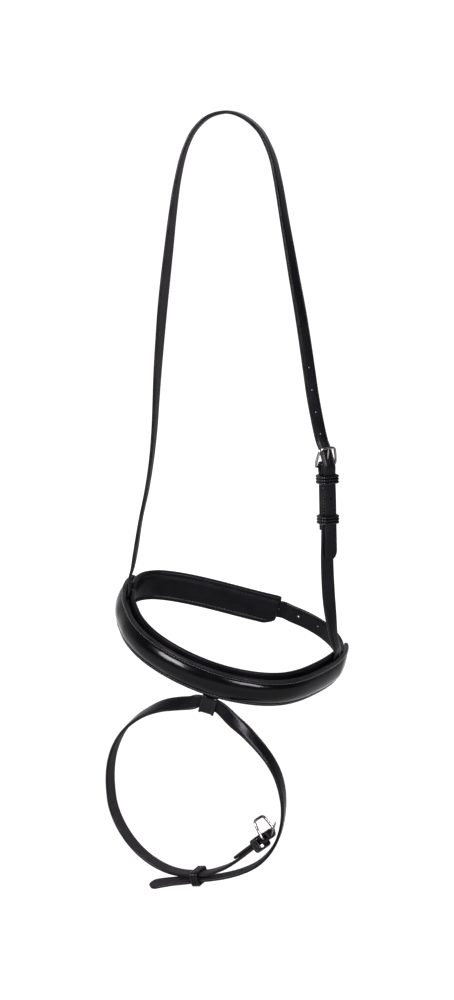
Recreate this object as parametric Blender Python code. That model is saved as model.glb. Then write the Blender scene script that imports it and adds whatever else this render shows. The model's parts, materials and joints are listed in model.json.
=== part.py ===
"""Flash noseband with its headpiece strap: straps, padding, buckles and keepers, as it hangs from its crown."""
import math

import bmesh
import bpy
import numpy as np
from mathutils import Matrix, Vector

MM = 0.001
NAME = "flash_noseband"

# strap stock (mm)
STRAP_W = 13.0
STRAP_T = 3.0
BILLET_W = 19.0
BILLET_T = 2.8
GAP = 0.3
HOLE_R = 1.3
HOLE_PITCH = 21.5
CHIN_HOLE_PITCH = 24.0

# noseband ring (mm)
NOSE_T = 4.5
NOSE_END_T = 3.2
NOSE_LOW = -15.0
NOSE_HIGH = 12.0
MIDDLE_T = 3.0
PAD_T = 5.0
PAD_LOW = -16.0
PAD_HIGH = 16.4
CHIN_PAD_W = 34.6
CHIN_PAD_T = 7.0
HANGER_Y = -16.0
HANGER_Z = 13.0
HANGER_R = 6.3
HANGER_THIN = 0.78

# how far everything is raised to put the underside of the crown at the origin (mm)
CROWN_LIFT = Vector((0.0, 0.0, 3.3))

# how the ring hangs (mm, degrees)
RING_AT = Vector((3.8, 17.8, -501.3))
LET_OUT = 1.014
RING_PITCH = 8.8
RING_ROLL = 15.6

# buckles (mm)
WIRE_R = 1.25
TONGUE_R = 1.0
FLASH_FLIP = 86.0

LEATHER = (0.022, 0.019, 0.020, 1.0)
LINING = (0.030, 0.027, 0.029, 1.0)
STEEL = (0.62, 0.60, 0.57, 1.0)


# ---------------------------------------------------------------- scene and materials
def clear():
    for old in list(bpy.data.objects):
        bpy.data.objects.remove(old, do_unlink=True)


def collection(name):
    made = bpy.data.collections.new(name)
    bpy.context.scene.collection.children.link(made)
    return made


def material(name, colour, roughness, metallic=0.0):
    made = bpy.data.materials.new(name)
    made.use_nodes = True
    shader = made.node_tree.nodes["Principled BSDF"]
    shader.inputs["Base Color"].default_value = colour
    shader.inputs["Roughness"].default_value = roughness
    shader.inputs["Metallic"].default_value = metallic
    return made


clear()
PARTS = collection(NAME)
CUTTERS = collection("cutters")


# ---------------------------------------------------------------- curves
def catmull(rows, step):
    """Rows of numbers, the first three a position, as a smooth curve sampled at equal lengths."""
    rows = np.array(rows, float)
    first = 2.0 * rows[0] - rows[1]
    last = 2.0 * rows[-1] - rows[-2]
    rows = np.vstack([first, rows, last])
    fine = []
    for k in range(1, len(rows) - 2):
        a, b, c, d = rows[k - 1:k + 3]
        ta = 0.0
        tb = ta + max(np.linalg.norm((b - a)[:3]), 1e-6) ** 0.5
        tc = tb + max(np.linalg.norm((c - b)[:3]), 1e-6) ** 0.5
        td = tc + max(np.linalg.norm((d - c)[:3]), 1e-6) ** 0.5
        for t in np.linspace(tb, tc, 24, endpoint=False):
            ab = (tb - t) / (tb - ta) * a + (t - ta) / (tb - ta) * b
            bc = (tc - t) / (tc - tb) * b + (t - tb) / (tc - tb) * c
            cd = (td - t) / (td - tc) * c + (t - tc) / (td - tc) * d
            abc = (tc - t) / (tc - ta) * ab + (t - ta) / (tc - ta) * bc
            bcd = (td - t) / (td - tb) * bc + (t - tb) / (td - tb) * cd
            fine.append((tc - t) / (tc - tb) * abc + (t - tb) / (tc - tb) * bcd)
    fine.append(rows[-2])
    fine = np.array(fine)
    return resample(fine, step)


def resample(fine, step):
    run = np.concatenate([[0.0], np.cumsum(np.linalg.norm(np.diff(fine[:, :3], axis=0), axis=1))])
    count = max(2, int(round(run[-1] / step)) + 1)
    at = np.linspace(0.0, run[-1], count)
    return np.stack([np.interp(at, run, fine[:, k]) for k in range(fine.shape[1])], 1)


class Track:
    """A centre line with a frame at every length: T along, W across the strap, N out of its face."""

    def __init__(self, rows, step=1.5):
        rows = catmull(rows, step)
        self.p = rows[:, :3]
        along = np.gradient(self.p, axis=0)
        self.t = along / np.linalg.norm(along, axis=1)[:, None]
        out = np.cross(rows[:, 3:6], self.t)
        self.n = out / np.linalg.norm(out, axis=1)[:, None]
        self.w = np.cross(self.t, self.n)
        gaps = np.linalg.norm(np.diff(self.p, axis=0), axis=1)
        self.s = np.concatenate([[0.0], np.cumsum(gaps)])
        self.length = float(self.s[-1])

    def frame(self, s):
        inside = min(max(s, 0.0), self.length)
        pick = [np.array([np.interp(inside, self.s, a[:, k]) for k in range(3)])
                for a in (self.p, self.t, self.n)]
        t = pick[1] / np.linalg.norm(pick[1])
        n = pick[2] - t * float(pick[2] @ t)
        n = n / np.linalg.norm(n)
        p = pick[0] + t * (s - inside)
        return p, t, n, np.cross(t, n)

    def point(self, s, h=0.0, across=0.0):
        p, t, n, w = self.frame(s)
        return Vector(p + n * h + w * across)

    def marks(self, s0, s1, step, turn=20.0):
        """Lengths to put sections at: never further apart than step, closer where the strap bends or twists."""
        most = math.cos(math.radians(turn))
        made = [s0]
        _, t0, n0, _ = self.frame(s0)
        for s in np.arange(s0, s1, 0.5).tolist():
            _, t, n, _ = self.frame(s)
            if s - made[-1] >= step or float(t @ t0) < most or float(n @ n0) < most:
                made.append(s)
                t0, n0 = t, n
        if s1 - made[-1] < 0.4 and len(made) > 1:
            made.pop()
        return made + [s1]

    def near(self, x, y, z):
        away = np.linalg.norm(self.p - np.array([x, y, z]), axis=1)
        return float(self.s[int(np.argmin(away))])


def side_rows(track, points):
    """Points (s, h) or (s, h, across) in a track's own side view, as rows for another track."""
    rows = []
    for at in points:
        across = at[2] if len(at) > 2 else 0.0
        w = track.frame(at[0])[3]
        rows.append(tuple(track.point(at[0], at[1], across)) + tuple(w))
    return rows


# ---------------------------------------------------------------- solids
def add(name, verts, faces, look, home=(0.0, 0.0, 0.0), into=None):
    home = Vector(home)
    mesh = bpy.data.meshes.new(name)
    mesh.from_pydata([(Vector(v) - home) * MM for v in verts], [], faces)
    shell = bmesh.new()
    shell.from_mesh(mesh)
    bmesh.ops.recalc_face_normals(shell, faces=shell.faces)
    shell.to_mesh(mesh)
    shell.free()
    made = bpy.data.objects.new(name, mesh)
    made.location = (home + CROWN_LIFT) * MM
    (into or PARTS).objects.link(made)
    if look:
        mesh.materials.append(look)
    return made


def skin(rings, closed=False):
    """Faces over a list of equal loops of points, capped at both ends unless the list closes on itself."""
    count = len(rings[0])
    verts = [p for ring in rings for p in ring]
    faces = []
    total = len(rings)
    for k in range(total if closed else total - 1):
        a = k * count
        b = (k + 1) % total * count
        for j in range(count):
            i = (j + 1) % count
            faces.append((a + j, a + i, b + i, b + j))
    if not closed:
        faces.append(tuple(reversed(range(count))))
        faces.append(tuple(range((total - 1) * count, total * count)))
    return verts, faces


def flat_profile(width, thick, chamfer=0.7):
    a = width / 2
    b = thick / 2
    c = chamfer
    return [(-a + c, -b), (a - c, -b), (a, -b + c), (a, b - c), (a - c, b), (-a + c, b), (-a, b - c), (-a, -b + c)]


def sweep(name, track, profile, look, step=8.0, wide=None, thin=None, home=(0, 0, 0), s0=0.0, s1=None):
    """A profile of (across, out) points carried along a track; wide and thin scale it by length."""
    s1 = track.length if s1 is None else s1
    marks = set(track.marks(s0, s1, step))
    for table in (wide, thin):
        for s, _ in table or ():
            if s0 < s < s1:
                marks = {m for m in marks if abs(m - s) > 0.35 or m in (s0, s1)} | {s}
    rings = []
    for s in sorted(marks):
        kw = np.interp(s, *zip(*wide)) if wide else 1.0
        kt = np.interp(s, *zip(*thin)) if thin else 1.0
        rings.append([track.point(s, b * kt, a * kw) for a, b in profile])
    verts, faces = skin(rings)
    return add(name, verts, faces, look, home)


def tip_scales(end, length=9.0):
    """Width factors that round a strap to a blunt point at a length along it."""
    table = []
    for f in (0.0, 0.4, 0.68, 0.88, 1.0):
        wide = math.sqrt(max(0.0, 1.0 - f ** 2.4))
        table.append((end - length * (1.0 - f), max(0.24, wide)))
    return table


def tube(name, path, radii, look, home, closed=False, side=(0, 0, 1), sides=8):
    """A round wire through points; side is a direction square to the whole path."""
    path = [np.array(p, float) for p in path]
    side = np.array(side, float)
    total = len(path)
    rings = []
    for k, p in enumerate(path):
        before = path[k - 1] if closed or k else path[k]
        after = path[(k + 1) % total] if closed or k < total - 1 else path[k]
        t = (after - before) / np.linalg.norm(after - before)
        out = np.cross(side, t)
        out = out / np.linalg.norm(out)
        across = np.cross(t, out)
        r = radii[k] if isinstance(radii, (list, tuple)) else radii
        rings.append([p + (out * math.cos(a) + across * math.sin(a)) * r
                      for a in np.linspace(0, 2 * math.pi, sides, endpoint=False)])
    verts, faces = skin(rings, closed)
    return add(name, [Vector(v) for v in verts], faces, look, home)


def cut(target, cutter):
    cutter.hide_render = True
    cutter.display_type = "WIRE"
    step = target.modifiers.new(cutter.name, "BOOLEAN")
    step.operation = "DIFFERENCE"
    step.solver = "EXACT"
    step.object = cutter


def rods(name, ends, sides=10):
    """Round cutters, each from one point to another with its radius, in one mesh."""
    verts = []
    faces = []
    for a, b, radius in ends:
        axis = (b - a).normalized()
        u = axis.orthogonal().normalized()
        v = axis.cross(u)
        loops = []
        for p in (a, b):
            loops.append([p + (u * math.cos(q) + v * math.sin(q)) * radius
                          for q in np.linspace(0, 2 * math.pi, sides, endpoint=False)])
        more, sheet = skin(loops)
        base = len(verts)
        verts += more
        faces += [tuple(base + i for i in f) for f in sheet]
    return add(name, verts, faces, None, into=CUTTERS)


def boxes(name, blocks):
    """Box cutters, each a centre, three half edges, in one mesh."""
    verts = []
    faces = []
    for centre, a, b, c in blocks:
        base = len(verts)
        for k in (-1, 1):
            for j, i in ((-1, -1), (-1, 1), (1, 1), (1, -1)):
                verts.append(Vector(centre) + Vector(a) * i + Vector(b) * j + Vector(c) * k)
        rows = [(3, 2, 1, 0), (4, 5, 6, 7)] + [(k, (k + 1) % 4, (k + 1) % 4 + 4, k + 4) for k in range(4)]
        faces += [tuple(base + i for i in f) for f in rows]
    return add(name, verts, faces, None, into=CUTTERS)


def hole_line(name, track, marks, thick, radius=HOLE_R):
    """Cutters for round holes square through a strap at lengths along it."""
    ends = [(track.point(s, -thick), track.point(s, thick), radius) for s in marks]
    return rods(name, ends)


# ---------------------------------------------------------------- buckle hardware in a track's side view
def mid_radius(thick):
    return WIRE_R + GAP + thick / 2


def turn_points(bar, way, rest, rise, thick, back, slack=1.45):
    """Side view of a strap end coming in over a bar, round it and back under itself."""
    r = mid_radius(thick)
    rows = [(bar - way * 13.0, rise + slack), (bar - way * 8.0, rise + slack + 0.25),
            (bar - way * 4.0, rise + r * 0.87)]
    for a in (-15, 15, 45, 75, 105, 135, 165, 195):
        q = math.radians(a)
        rows.append((bar + way * r * math.sin(q), rise + r * math.cos(q)))
    rows += [(bar - way * 4.0, rise - r * 0.87), (bar - way * 8.0, rise - slack - 0.25),
             (bar - way * 13.0, rise - slack), (bar - way * back * 0.6, rise - slack),
             (bar - way * back, rise - slack)]
    return rest + rows


def buckle(name, track, bar, way, rise, angle, wide, top, reach, look):
    """A wire frame: straight bar, sides leaning in, round shoulders. Angle lifts the far end."""
    home, t, n, w = track.frame(bar)
    home = home + n * rise
    q = math.radians(angle)
    ahead = t * way * math.cos(q) + n * math.sin(q)
    a = wide / 2
    b = top / 2
    r = min(4.2, b - 1.0)
    outline = [(0, -a + 1.2), (0, 0), (0, a - 1.2), (0.9, a - 0.25), (reach * 0.45, (a + b) / 2 + 0.5)]
    for f in (10, 40, 70, 90):
        c = math.radians(f)
        outline.append((reach - r + r * math.sin(c), b - r + r * math.cos(c)))
    outline += [(u, -v) for u, v in reversed(outline[3:])]
    path = [home + ahead * u + w * v for u, v in outline]
    side = np.cross(ahead, w)
    return tube(name, path, WIRE_R, look, home, closed=True, side=side)


def tongue(name, track, bar, way, rise, tip, look, wrap=200.0):
    """A wire tongue hooked round the bar, its tip at (ahead, out) from the bar."""
    home, t, n, w = track.frame(bar)
    home = home + n * rise
    ahead = t * way
    ring = WIRE_R + GAP + TONGUE_R
    far = math.hypot(*tip)
    aim = math.atan2(tip[1], tip[0])
    leave = aim + math.acos(ring / far)
    points = []
    for q in np.linspace(leave + math.radians(wrap), leave, 8):
        points.append((ring * math.cos(q), ring * math.sin(q)))
    start = points[-1]
    for f in (0.5, 0.85, 1.0):
        points.append((start[0] + (tip[0] - start[0]) * f, start[1] + (tip[1] - start[1]) * f))
    path = [home + ahead * u + n * v for u, v in points]
    radii = [TONGUE_R] * (len(path) - 1) + [TONGUE_R * 0.55]
    made = tube(name, path, radii, look, home, side=w)
    return made, [Vector(p) for p in path]


def slot_box(name, track, bar, way, rise, behind, ahead, half):
    """A cutter that opens the tongue slot in the leather round a bar."""
    p, t, n, w = track.frame(bar)
    mid = p + t * way * (ahead - behind) / 2 + n * rise
    return boxes(name, [(mid, t * (ahead + behind) / 2, w * half, n * 9.0)])


def keeper(name, track, s, length, low, high, half, look, thick=1.9, ridges=3, shift=0.0):
    """A closed leather loop round the straps between two heights, its outside pressed into ridges."""
    p, t, n, w = track.frame(s)
    mid = p + n * (low + high) / 2 + w * shift
    rx = half
    ry = (high - low) / 2

    def loop(at, grow):
        r = 0.8 + grow * 0.9
        ring = []
        for sx, sy, a0 in ((1, 1, 0), (-1, 1, 90), (-1, -1, 180), (1, -1, 270)):
            for a in (0, 45, 90):
                q = math.radians(a0 + a)
                u = sx * (rx + grow - r) + r * math.cos(q)
                v = sy * (ry + grow - r) + r * math.sin(q)
                ring.append(mid + t * at + w * u + n * v)
        return ring

    rings = [loop(-length / 2, 0.0), loop(-length / 2, thick * 0.72)]
    for k in range(ridges):
        a = -length / 2 + length * k / ridges
        b = -length / 2 + length * (k + 1) / ridges
        rings.append(loop(a * 0.8 + b * 0.2, thick))
        rings.append(loop(a * 0.2 + b * 0.8, thick))
        if k < ridges - 1:
            rings.append(loop(b, thick * 0.72))
    rings += [loop(length / 2, thick * 0.72), loop(length / 2, 0.0)]
    verts, faces = skin(rings, closed=True)
    return add(name, [Vector(v) for v in verts], faces, look, mid)


# ---------------------------------------------------------------- the ring's own frame
RING = Matrix.Rotation(math.radians(RING_ROLL), 3, "Y") @ Matrix.Rotation(math.radians(RING_PITCH), 3, "X")


def ring(x, y, z=0.0):
    return RING_AT + RING @ Vector((x, y, z))


def ring_row(x, y, z=0.0, up=1.0):
    return tuple(ring(x * LET_OUT, y * LET_OUT, z)) + tuple(RING @ Vector((0.0, 0.0, up)))


# outer face of the nosepiece in plan, left rear, round the front, to right rear
NOSE_LINE = [(-110.8, 31), (-114.8, 16), (-115.2, 0), (-113, -16), (-109.5, -31), (-104, -44), (-95, -62),
             (-81, -79.5), (-65, -92.5), (-45, -103), (-23, -110), (0, -112.8), (23, -110.5), (46, -103),
             (65, -91), (81, -73.5), (96, -49), (104.5, -32), (110.6, -16), (113.8, 0), (114.4, 12), (112.8, 24)]
# outer face of the chin pad in plan, left side round to its free end
CHIN_LINE = [(-108.2, -2), (-108.2, 10), (-106.6, 22), (-101.2, 33.2), (-90.1, 44.0), (-73.4, 52.0),
             (-52.4, 57.4), (-30.8, 60.7), (-10.5, 62.6), (9.5, 64.4), (26, 66.4), (37.5, 68.4)]

# how far the buckle strap and billet run below the middle of the chin pad, at the same places
STACK_DROP = [0, 0, 0, 1.0, 2.2, 3.2, 3.4, 3.4, 3.4, 3.2, 2.6, 1.9]

NOSE = Track([ring_row(x, y, 0.0, -1.0) for x, y in NOSE_LINE])
CHIN = Track([ring_row(x, y) for x, y in CHIN_LINE])
STACK = Track([ring_row(x, y, -drop) for (x, y), drop in zip(CHIN_LINE, STACK_DROP)])
MIDDLE = -(NOSE_T + GAP + MIDDLE_T / 2)
LINING_AT = -(NOSE_T + GAP + MIDDLE_T + GAP)


def nose_s(x, y):
    return NOSE.near(*ring(x, y))


LEFT_S = nose_s(-114.6, HANGER_Y)
RIGHT_S = nose_s(111.4, HANGER_Y - 3)
FRONT_S = nose_s(0, -112.8)
LEFT_FOOT = NOSE.point(LEFT_S, MIDDLE)
RIGHT_FOOT = NOSE.point(RIGHT_S, MIDDLE)
RING_UP = RING @ Vector((0.0, 0.0, 1.0))
LEFT_PIVOT = LEFT_FOOT + RING_UP * HANGER_Z
RIGHT_PIVOT = RIGHT_FOOT + RING_UP * HANGER_Z
SWING = (LEFT_PIVOT + RIGHT_PIVOT) / 2
SWING_AXIS = (RIGHT_PIVOT - LEFT_PIVOT).normalized()


def nose_strap(look):
    """Crowned outer strap: flat stitched borders and a raised middle that dies away to the rear."""
    low = -NOSE_HIGH
    high = -NOSE_LOW
    mid = (low + high) / 2
    crown = [(low, -0.6), (low + 0.7, 0.0), (low + 3.4, 0.1), (low + 5.0, 1.3), (low + 8.2, 2.9),
             (mid, 3.6), (high - 8.2, 2.9), (high - 5.0, 1.3), (high - 3.4, 0.1), (high - 0.7, 0.0), (high, -0.6)]
    marks = [0.0, 4.0, 9.0, 16.0, 24.0]
    marks = marks + [NOSE.length - m for m in marks]
    marks += np.linspace(32, NOSE.length - 32, 38).tolist()
    rings = []
    for s in sorted(marks):
        end = min(s, NOSE.length - s)
        rise = np.interp(end, (4, 46), (0.0, 1.0))
        wide = np.interp(end, (0, 3, 34), (0.70, 0.76, 1.0))
        deep = np.interp(end, (24, 38), (NOSE_END_T, NOSE_T))
        back = [(high, 0.7 - deep), (high - 0.7, -deep), (low + 0.7, -deep), (low, 0.7 - deep)]
        loop = []
        for a, b in crown + back:
            b = b * rise if b > 0 else b
            loop.append(NOSE.point(s, b, mid * rise + (a - mid) * wide))
        rings.append(loop)
    verts, faces = skin(rings)
    return add("noseband_strap", verts, faces, look, SWING)


def backing(look):
    """Middle layer of the nosepiece, notched for the two hangers and for the flash loop's tail."""
    s0 = nose_s(-116, -5)
    s1 = nose_s(115, -5)
    rings = []
    prof = flat_profile(21.0, MIDDLE_T, 0.5)
    for s in np.linspace(s0, s1, 34):
        rings.append([NOSE.point(s, MIDDLE + b, a + 1.5) for a, b in prof])
    verts, faces = skin(rings)
    made = add("noseband_backing", verts, faces, look, SWING)
    blocks = []
    for s, low, high, half in ((LEFT_S, -20, 9.0, 7.1), (RIGHT_S, -20, 9.0, 7.1), (FRONT_S, -1.5, 20, 8.2)):
        p, t, n, w = NOSE.frame(s)
        mid = p + n * MIDDLE + w * (low + high) / 2
        blocks.append((mid, t * half, w * (high - low) / 2, n * 3.5))
    cut(made, boxes("cut_pockets", blocks))
    return made


def pad_profile(low, high, thick):
    """Soft slab on the inner side of a track: flat back, domed face, thick rolled edges."""
    mid = (low + high) / 2
    a = (high - low) / 2
    half = [(-1.0, 0.30), (-0.985, 0.66), (-0.93, 0.93), (-0.86, 1.0), (-0.74, 0.86), (-0.35, 0.97),
            (0.0, 1.0)]
    outer = [(mid + a * u, -thick * v) for u, v in half]
    outer += [(mid - a * u, -thick * v) for u, v in reversed(half[:-1])]
    back = [(mid + a * 0.90, 0.0), (mid, 0.0), (mid - a * 0.90, 0.0)]
    return outer + back


def nose_padding(look):
    """Soft lining of the nosepiece, between the two hangers, with rounded ends."""
    prof = pad_profile(-PAD_HIGH, -PAD_LOW, PAD_T)
    s0 = LEFT_S - 8.5
    s1 = RIGHT_S + 8.5
    marks = [s0, s0 + 0.8, s0 + 2.5, s0 + 6.0, s1 - 6.0, s1 - 2.5, s1 - 0.8, s1]
    marks += np.linspace(s0 + 12, s1 - 12, 30).tolist()
    mid = -(PAD_HIGH + PAD_LOW) / 2
    rings = []
    for s in sorted(marks):
        end = min(s - s0, s1 - s)
        wide = np.interp(end, (0, 0.8, 2.5, 6, 12), (0.62, 0.78, 0.90, 0.98, 1.0))
        thick = np.interp(end, (0, 0.8, 2.5, 6), (0.45, 0.7, 0.9, 1.0))
        rings.append([NOSE.point(s, LINING_AT + b * thick, mid + (a - mid) * wide) for a, b in prof])
    verts, faces = skin(rings)
    return add("noseband_padding", verts, faces, look, SWING)


def chin_pad(look):
    """Soft chin pad under the rear buckle, square at its free end with the lower corner clipped."""
    half = CHIN_PAD_W / 2
    prof = pad_profile(-half - 0.6, half - 0.6, CHIN_PAD_T)
    s0 = 3.0
    s1 = CHIN.length
    marks = [s0, s0 + 1.2, s0 + 4, s1 - 11, s1 - 5, s1 - 1.6, s1 - 0.5, s1]
    marks += np.linspace(s0 + 10, s1 - 17, 18).tolist()
    rings = []
    for s in sorted(marks):
        end = s1 - s
        low = np.interp(end, (0, 0.5, 1.6, 5, 11), (0.58, 0.64, 0.70, 0.84, 1.0))
        high = np.interp(end, (0, 0.5, 1.6, 5), (0.86, 0.92, 0.97, 1.0))
        thick = np.interp(end, (0, 0.5, 1.6, 5), (0.55, 0.8, 0.95, 1.0))
        head = np.interp(s - s0, (0, 1.2, 4, 10), (0.6, 0.8, 0.95, 1.0))
        rings.append([CHIN.point(s, -0.02 + b * min(thick, head), a * (high if a > 0 else low)) for a, b in prof])
    verts, faces = skin(rings)
    return add("chin_pad", verts, faces, look, SWING)


CHIN_BAR = STACK.length - 33.0
CHIN_RISE = GAP + mid_radius(BILLET_T) + BILLET_T / 2 + 2.3


def chin_strap(look):
    """Buckle strap over the chin pad: from under the nosepiece's left end to the bar and back."""
    under = GAP + BILLET_T / 2
    level = CHIN_RISE + 1.55
    rest = [(s, under) for s in np.linspace(7.5, CHIN_BAR - 84, 9)]
    rest += [(CHIN_BAR - 74, under + 0.8), (CHIN_BAR - 64, level - 1.4), (CHIN_BAR - 54, level - 0.1),
             (CHIN_BAR - 44, level), (CHIN_BAR - 34, level), (CHIN_BAR - 24, level)]
    rest = turn_points(CHIN_BAR, 1, rest, CHIN_RISE, BILLET_T, 36.0, 1.55)
    track = Track(side_rows(STACK, rest), 1.0)
    made = sweep("chin_buckle_strap", track, flat_profile(BILLET_W, BILLET_T), look, 4.0, home=SWING)
    cut(made, slot_box("cut_chin_slot", STACK, CHIN_BAR, 1, CHIN_RISE, 8.0, 8.0, 1.9))
    return made


CHIN_TONGUE = (17.6, 5.6)


def billet_rows():
    """Right billet in the chin pad's side view, beyond the pad's end and back over the buckle."""
    end = STACK.length
    over = CHIN_RISE + mid_radius(BILLET_T) + BILLET_T + GAP
    lap = CHIN_RISE + 1.55 + BILLET_T + GAP + 0.1
    plan = [(109.0, 4, 0), (108.9, 13, 0), (106.6, 25, 0), (101.6, 36, 0), (94, 46, 0), (83.5, 55.2, 0),
            (68, 63.8, -0.4), (52, 69.2, -1.1)]
    rows = [ring_row(x, y, z, -1.0) for x, y, z in plan]
    side = [(end + 6, 3.6), (end - 3, 3.6), (CHIN_BAR + 17.6, CHIN_RISE - 1.4), (CHIN_BAR + 11, CHIN_RISE + 1.6),
            (CHIN_BAR + 5, over - 1.2), (CHIN_BAR, over), (CHIN_BAR - 6, over - 0.4), (CHIN_BAR - 14, lap),
            (CHIN_BAR - 22, lap), (CHIN_BAR - 30, lap), (CHIN_BAR - 38, lap), (CHIN_BAR - 46, lap),
            (CHIN_BAR - 56, lap), (CHIN_BAR - 66, lap - 0.8), (CHIN_BAR - 76, lap - 1.6)]
    rows += [row[:3] + tuple(-c for c in row[3:]) for row in side_rows(STACK, side)]
    return rows


def billet(look, prick):
    track = Track(billet_rows(), 1.0)
    wide = [(0.0, 1.0)] + tip_scales(track.length, 11.0)
    made = sweep("noseband_billet", track, flat_profile(BILLET_W, BILLET_T), look, 5.0, wide=wide, home=SWING)
    at = min(range(len(track.s)), key=lambda k: (Vector(track.p[k]) - prick).length)
    here = float(track.s[at])
    marks = [here + CHIN_HOLE_PITCH * k for k in (-3, -2, -1, 1, 2)]
    cut(made, hole_line("cut_billet_holes", track, marks, BILLET_T, 1.4))
    return made


# ---------------------------------------------------------------- headpiece and cheek strap
# crown, both branches: x, z and how far the strap is turned about its own line (mm, degrees)
LEFT_BRANCH = [(-96.2, -447, -6), (-93.6, -438, -2), (-90.2, -420, 3), (-84.8, -388, 0), (-78.3, -358, 2.5),
               (-73.4, -328, 4), (-70.2, -298, 9), (-68.3, -269, 14), (-66.4, -240, 21), (-64.0, -211.5, 26),
               (-61.4, -183, 31), (-58.3, -155, 31), (-54.9, -127, 27), (-51.5, -99, 21), (-47.6, -72, 15),
               (-44.9, -58, 12), (-41.8, -44.7, 10), (-37.2, -31.2, 7), (-30.1, -17.8, 7), (-17.2, -6.0, 8)]
RIGHT_BRANCH = [(0, -1.8, 10), (14.9, -5.8, 12), (29.8, -17.7, 14), (37.6, -31, 16), (42.8, -44.4, 20),
                (46.0, -57.9, 23), (48.7, -71.4, 26), (53.4, -98.5, 30), (58.4, -125.9, 37), (63.4, -153.5, 43),
                (68.6, -181.3, 50), (73.3, -209.3, 54), (77.7, -237.6, 57), (82.2, -266.1, 58)]
# middle of the buckled stack and the cheek strap below it: x, z and turn
CHEEK_LINE = [(92.1, -296, 57), (94.5, -329.5, 56), (95.0, -345, 56), (95.6, -365, 56), (96.4, -395, 58),
              (97.6, -429, 66), (99.6, -460, 68), (101.9, -480, 52), (104.4, -497, 30)]
CHEEK_BILLET = [(-24, -1.8, 1.4), (-16.5, 0.8, 0.2), (-8, 3.8, -0.2), (-4, 5.4, -0.3), (0, 6.45, -0.4),
                (4, 6.2, -0.6), (8, 5.5, -0.8), (13, 5.1, -1.0), (30, 5.05, -1.4), (54, 5.05, -1.6),
                (76, 5.1, -1.8), (92, 5.6, -1.8)]


def turned(x, z, turn):
    q = math.radians(turn)
    return (x, 0.0, z, -math.sin(q), -math.cos(q), 0.0)


def foot_rows(foot, s, side, heights):
    """A hanger's line between the nosepiece's layers, at heights above the ring's middle."""
    w = NOSE.frame(s)[1] * side
    return [tuple(foot + RING_UP * z) + tuple(w) for z in heights]


HANGER_HEIGHTS = (16.0, 12.0, HANGER_Z - HANGER_R)
CHEEK = Track([turned(*row) for row in CHEEK_LINE] + foot_rows(RIGHT_FOOT, RIGHT_S, -1.0, HANGER_HEIGHTS))


def round_start(width, radius):
    """Width factors that start a strap with a half circle."""
    table = []
    for q in (12, 25, 40, 55, 70, 90):
        a = math.radians(q)
        table.append((radius * (1.0 - math.cos(a)), radius * math.sin(a) / (width / 2)))
    return [(0.0, 0.12)] + table + [(radius + 1.0, 1.0)]


def hanger_foot(name, foot, pivot, s, side, look):
    """A hanger's sewn-in end, hollowed for the round end that turns above it."""
    rows = foot_rows(foot, s, side, (HANGER_Z - 3.2, 4.0, -2.0, -7.5))
    track = Track(rows, 1.0)
    prof = flat_profile(STRAP_W, STRAP_T * HANGER_THIN)
    made = sweep(name, track, prof, look, 6.0, home=SWING)
    cut(made, rods("cut_" + name, [(pivot - SWING_AXIS * 8, pivot + SWING_AXIS * 8, HANGER_R + 0.5)], 24))
    return made


CHEEK_BAR = CHEEK.near(94.5, 0.0, -329.5)
CHEEK_TONGUE = (17.6, 6.9)


def headpiece(look, prick, shank):
    rows = list(reversed(foot_rows(LEFT_FOOT, LEFT_S, 1.0, HANGER_HEIGHTS)))
    rows += [turned(*row) for row in LEFT_BRANCH + RIGHT_BRANCH]
    rows += side_rows(CHEEK, [(CHEEK_BAR + s, h, across) for s, h, across in CHEEK_BILLET])
    track = Track(rows, 1.0)
    wide = round_start(STRAP_W, HANGER_R) + tip_scales(track.length, 10.0)
    thin = [(0.0, HANGER_THIN), (7.0, HANGER_THIN), (18.0, 1.0)]
    prof = flat_profile(STRAP_W, STRAP_T)
    made = sweep("headpiece_strap", track, prof, look, 11.0, wide=wide, thin=thin)
    at = min(range(len(track.s)), key=lambda k: (Vector(track.p[k]) - prick).length)
    here = float(track.s[at])
    marks = [here + HOLE_PITCH * k for k in (-4, -3, -2, -1, 1, 2, 3)]
    cut(made, hole_line("cut_head_holes", track, marks, STRAP_T))
    cut(made, shank)
    return made


def cheek_strap(look):
    """Lower strap: its end turned over the bar and stitched behind, its foot in the right pocket."""
    low = [(s, 0.0) for s in np.linspace(CHEEK.length, CHEEK_BAR + 104, 12)]
    low += [(CHEEK_BAR + 90, 0.4), (CHEEK_BAR + 76, 1.3), (CHEEK_BAR + 60, 1.65), (CHEEK_BAR + 44, 1.65),
            (CHEEK_BAR + 26, 1.65)]
    side = turn_points(CHEEK_BAR, -1, low, 0.0, STRAP_T, 63.0, 1.65)
    rows = side_rows(CHEEK, side)
    track = Track(rows, 1.0)
    wide = round_start(STRAP_W, HANGER_R)
    thin = [(0.0, HANGER_THIN), (8.0, HANGER_THIN), (20.0, 1.0)]
    made = sweep("cheek_strap", track, flat_profile(STRAP_W, STRAP_T), look, 5.0, wide=wide, thin=thin)
    cut(made, slot_box("cut_cheek_slot", CHEEK, CHEEK_BAR, -1, 0.0, 8.0, 8.0, 1.7))
    return made


# ---------------------------------------------------------------- flash loop and flash strap
LOOP_Y = -112.8 * LET_OUT - MIDDLE
STRAP_Z = -26.4
LOOP_T = 2.0


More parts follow.
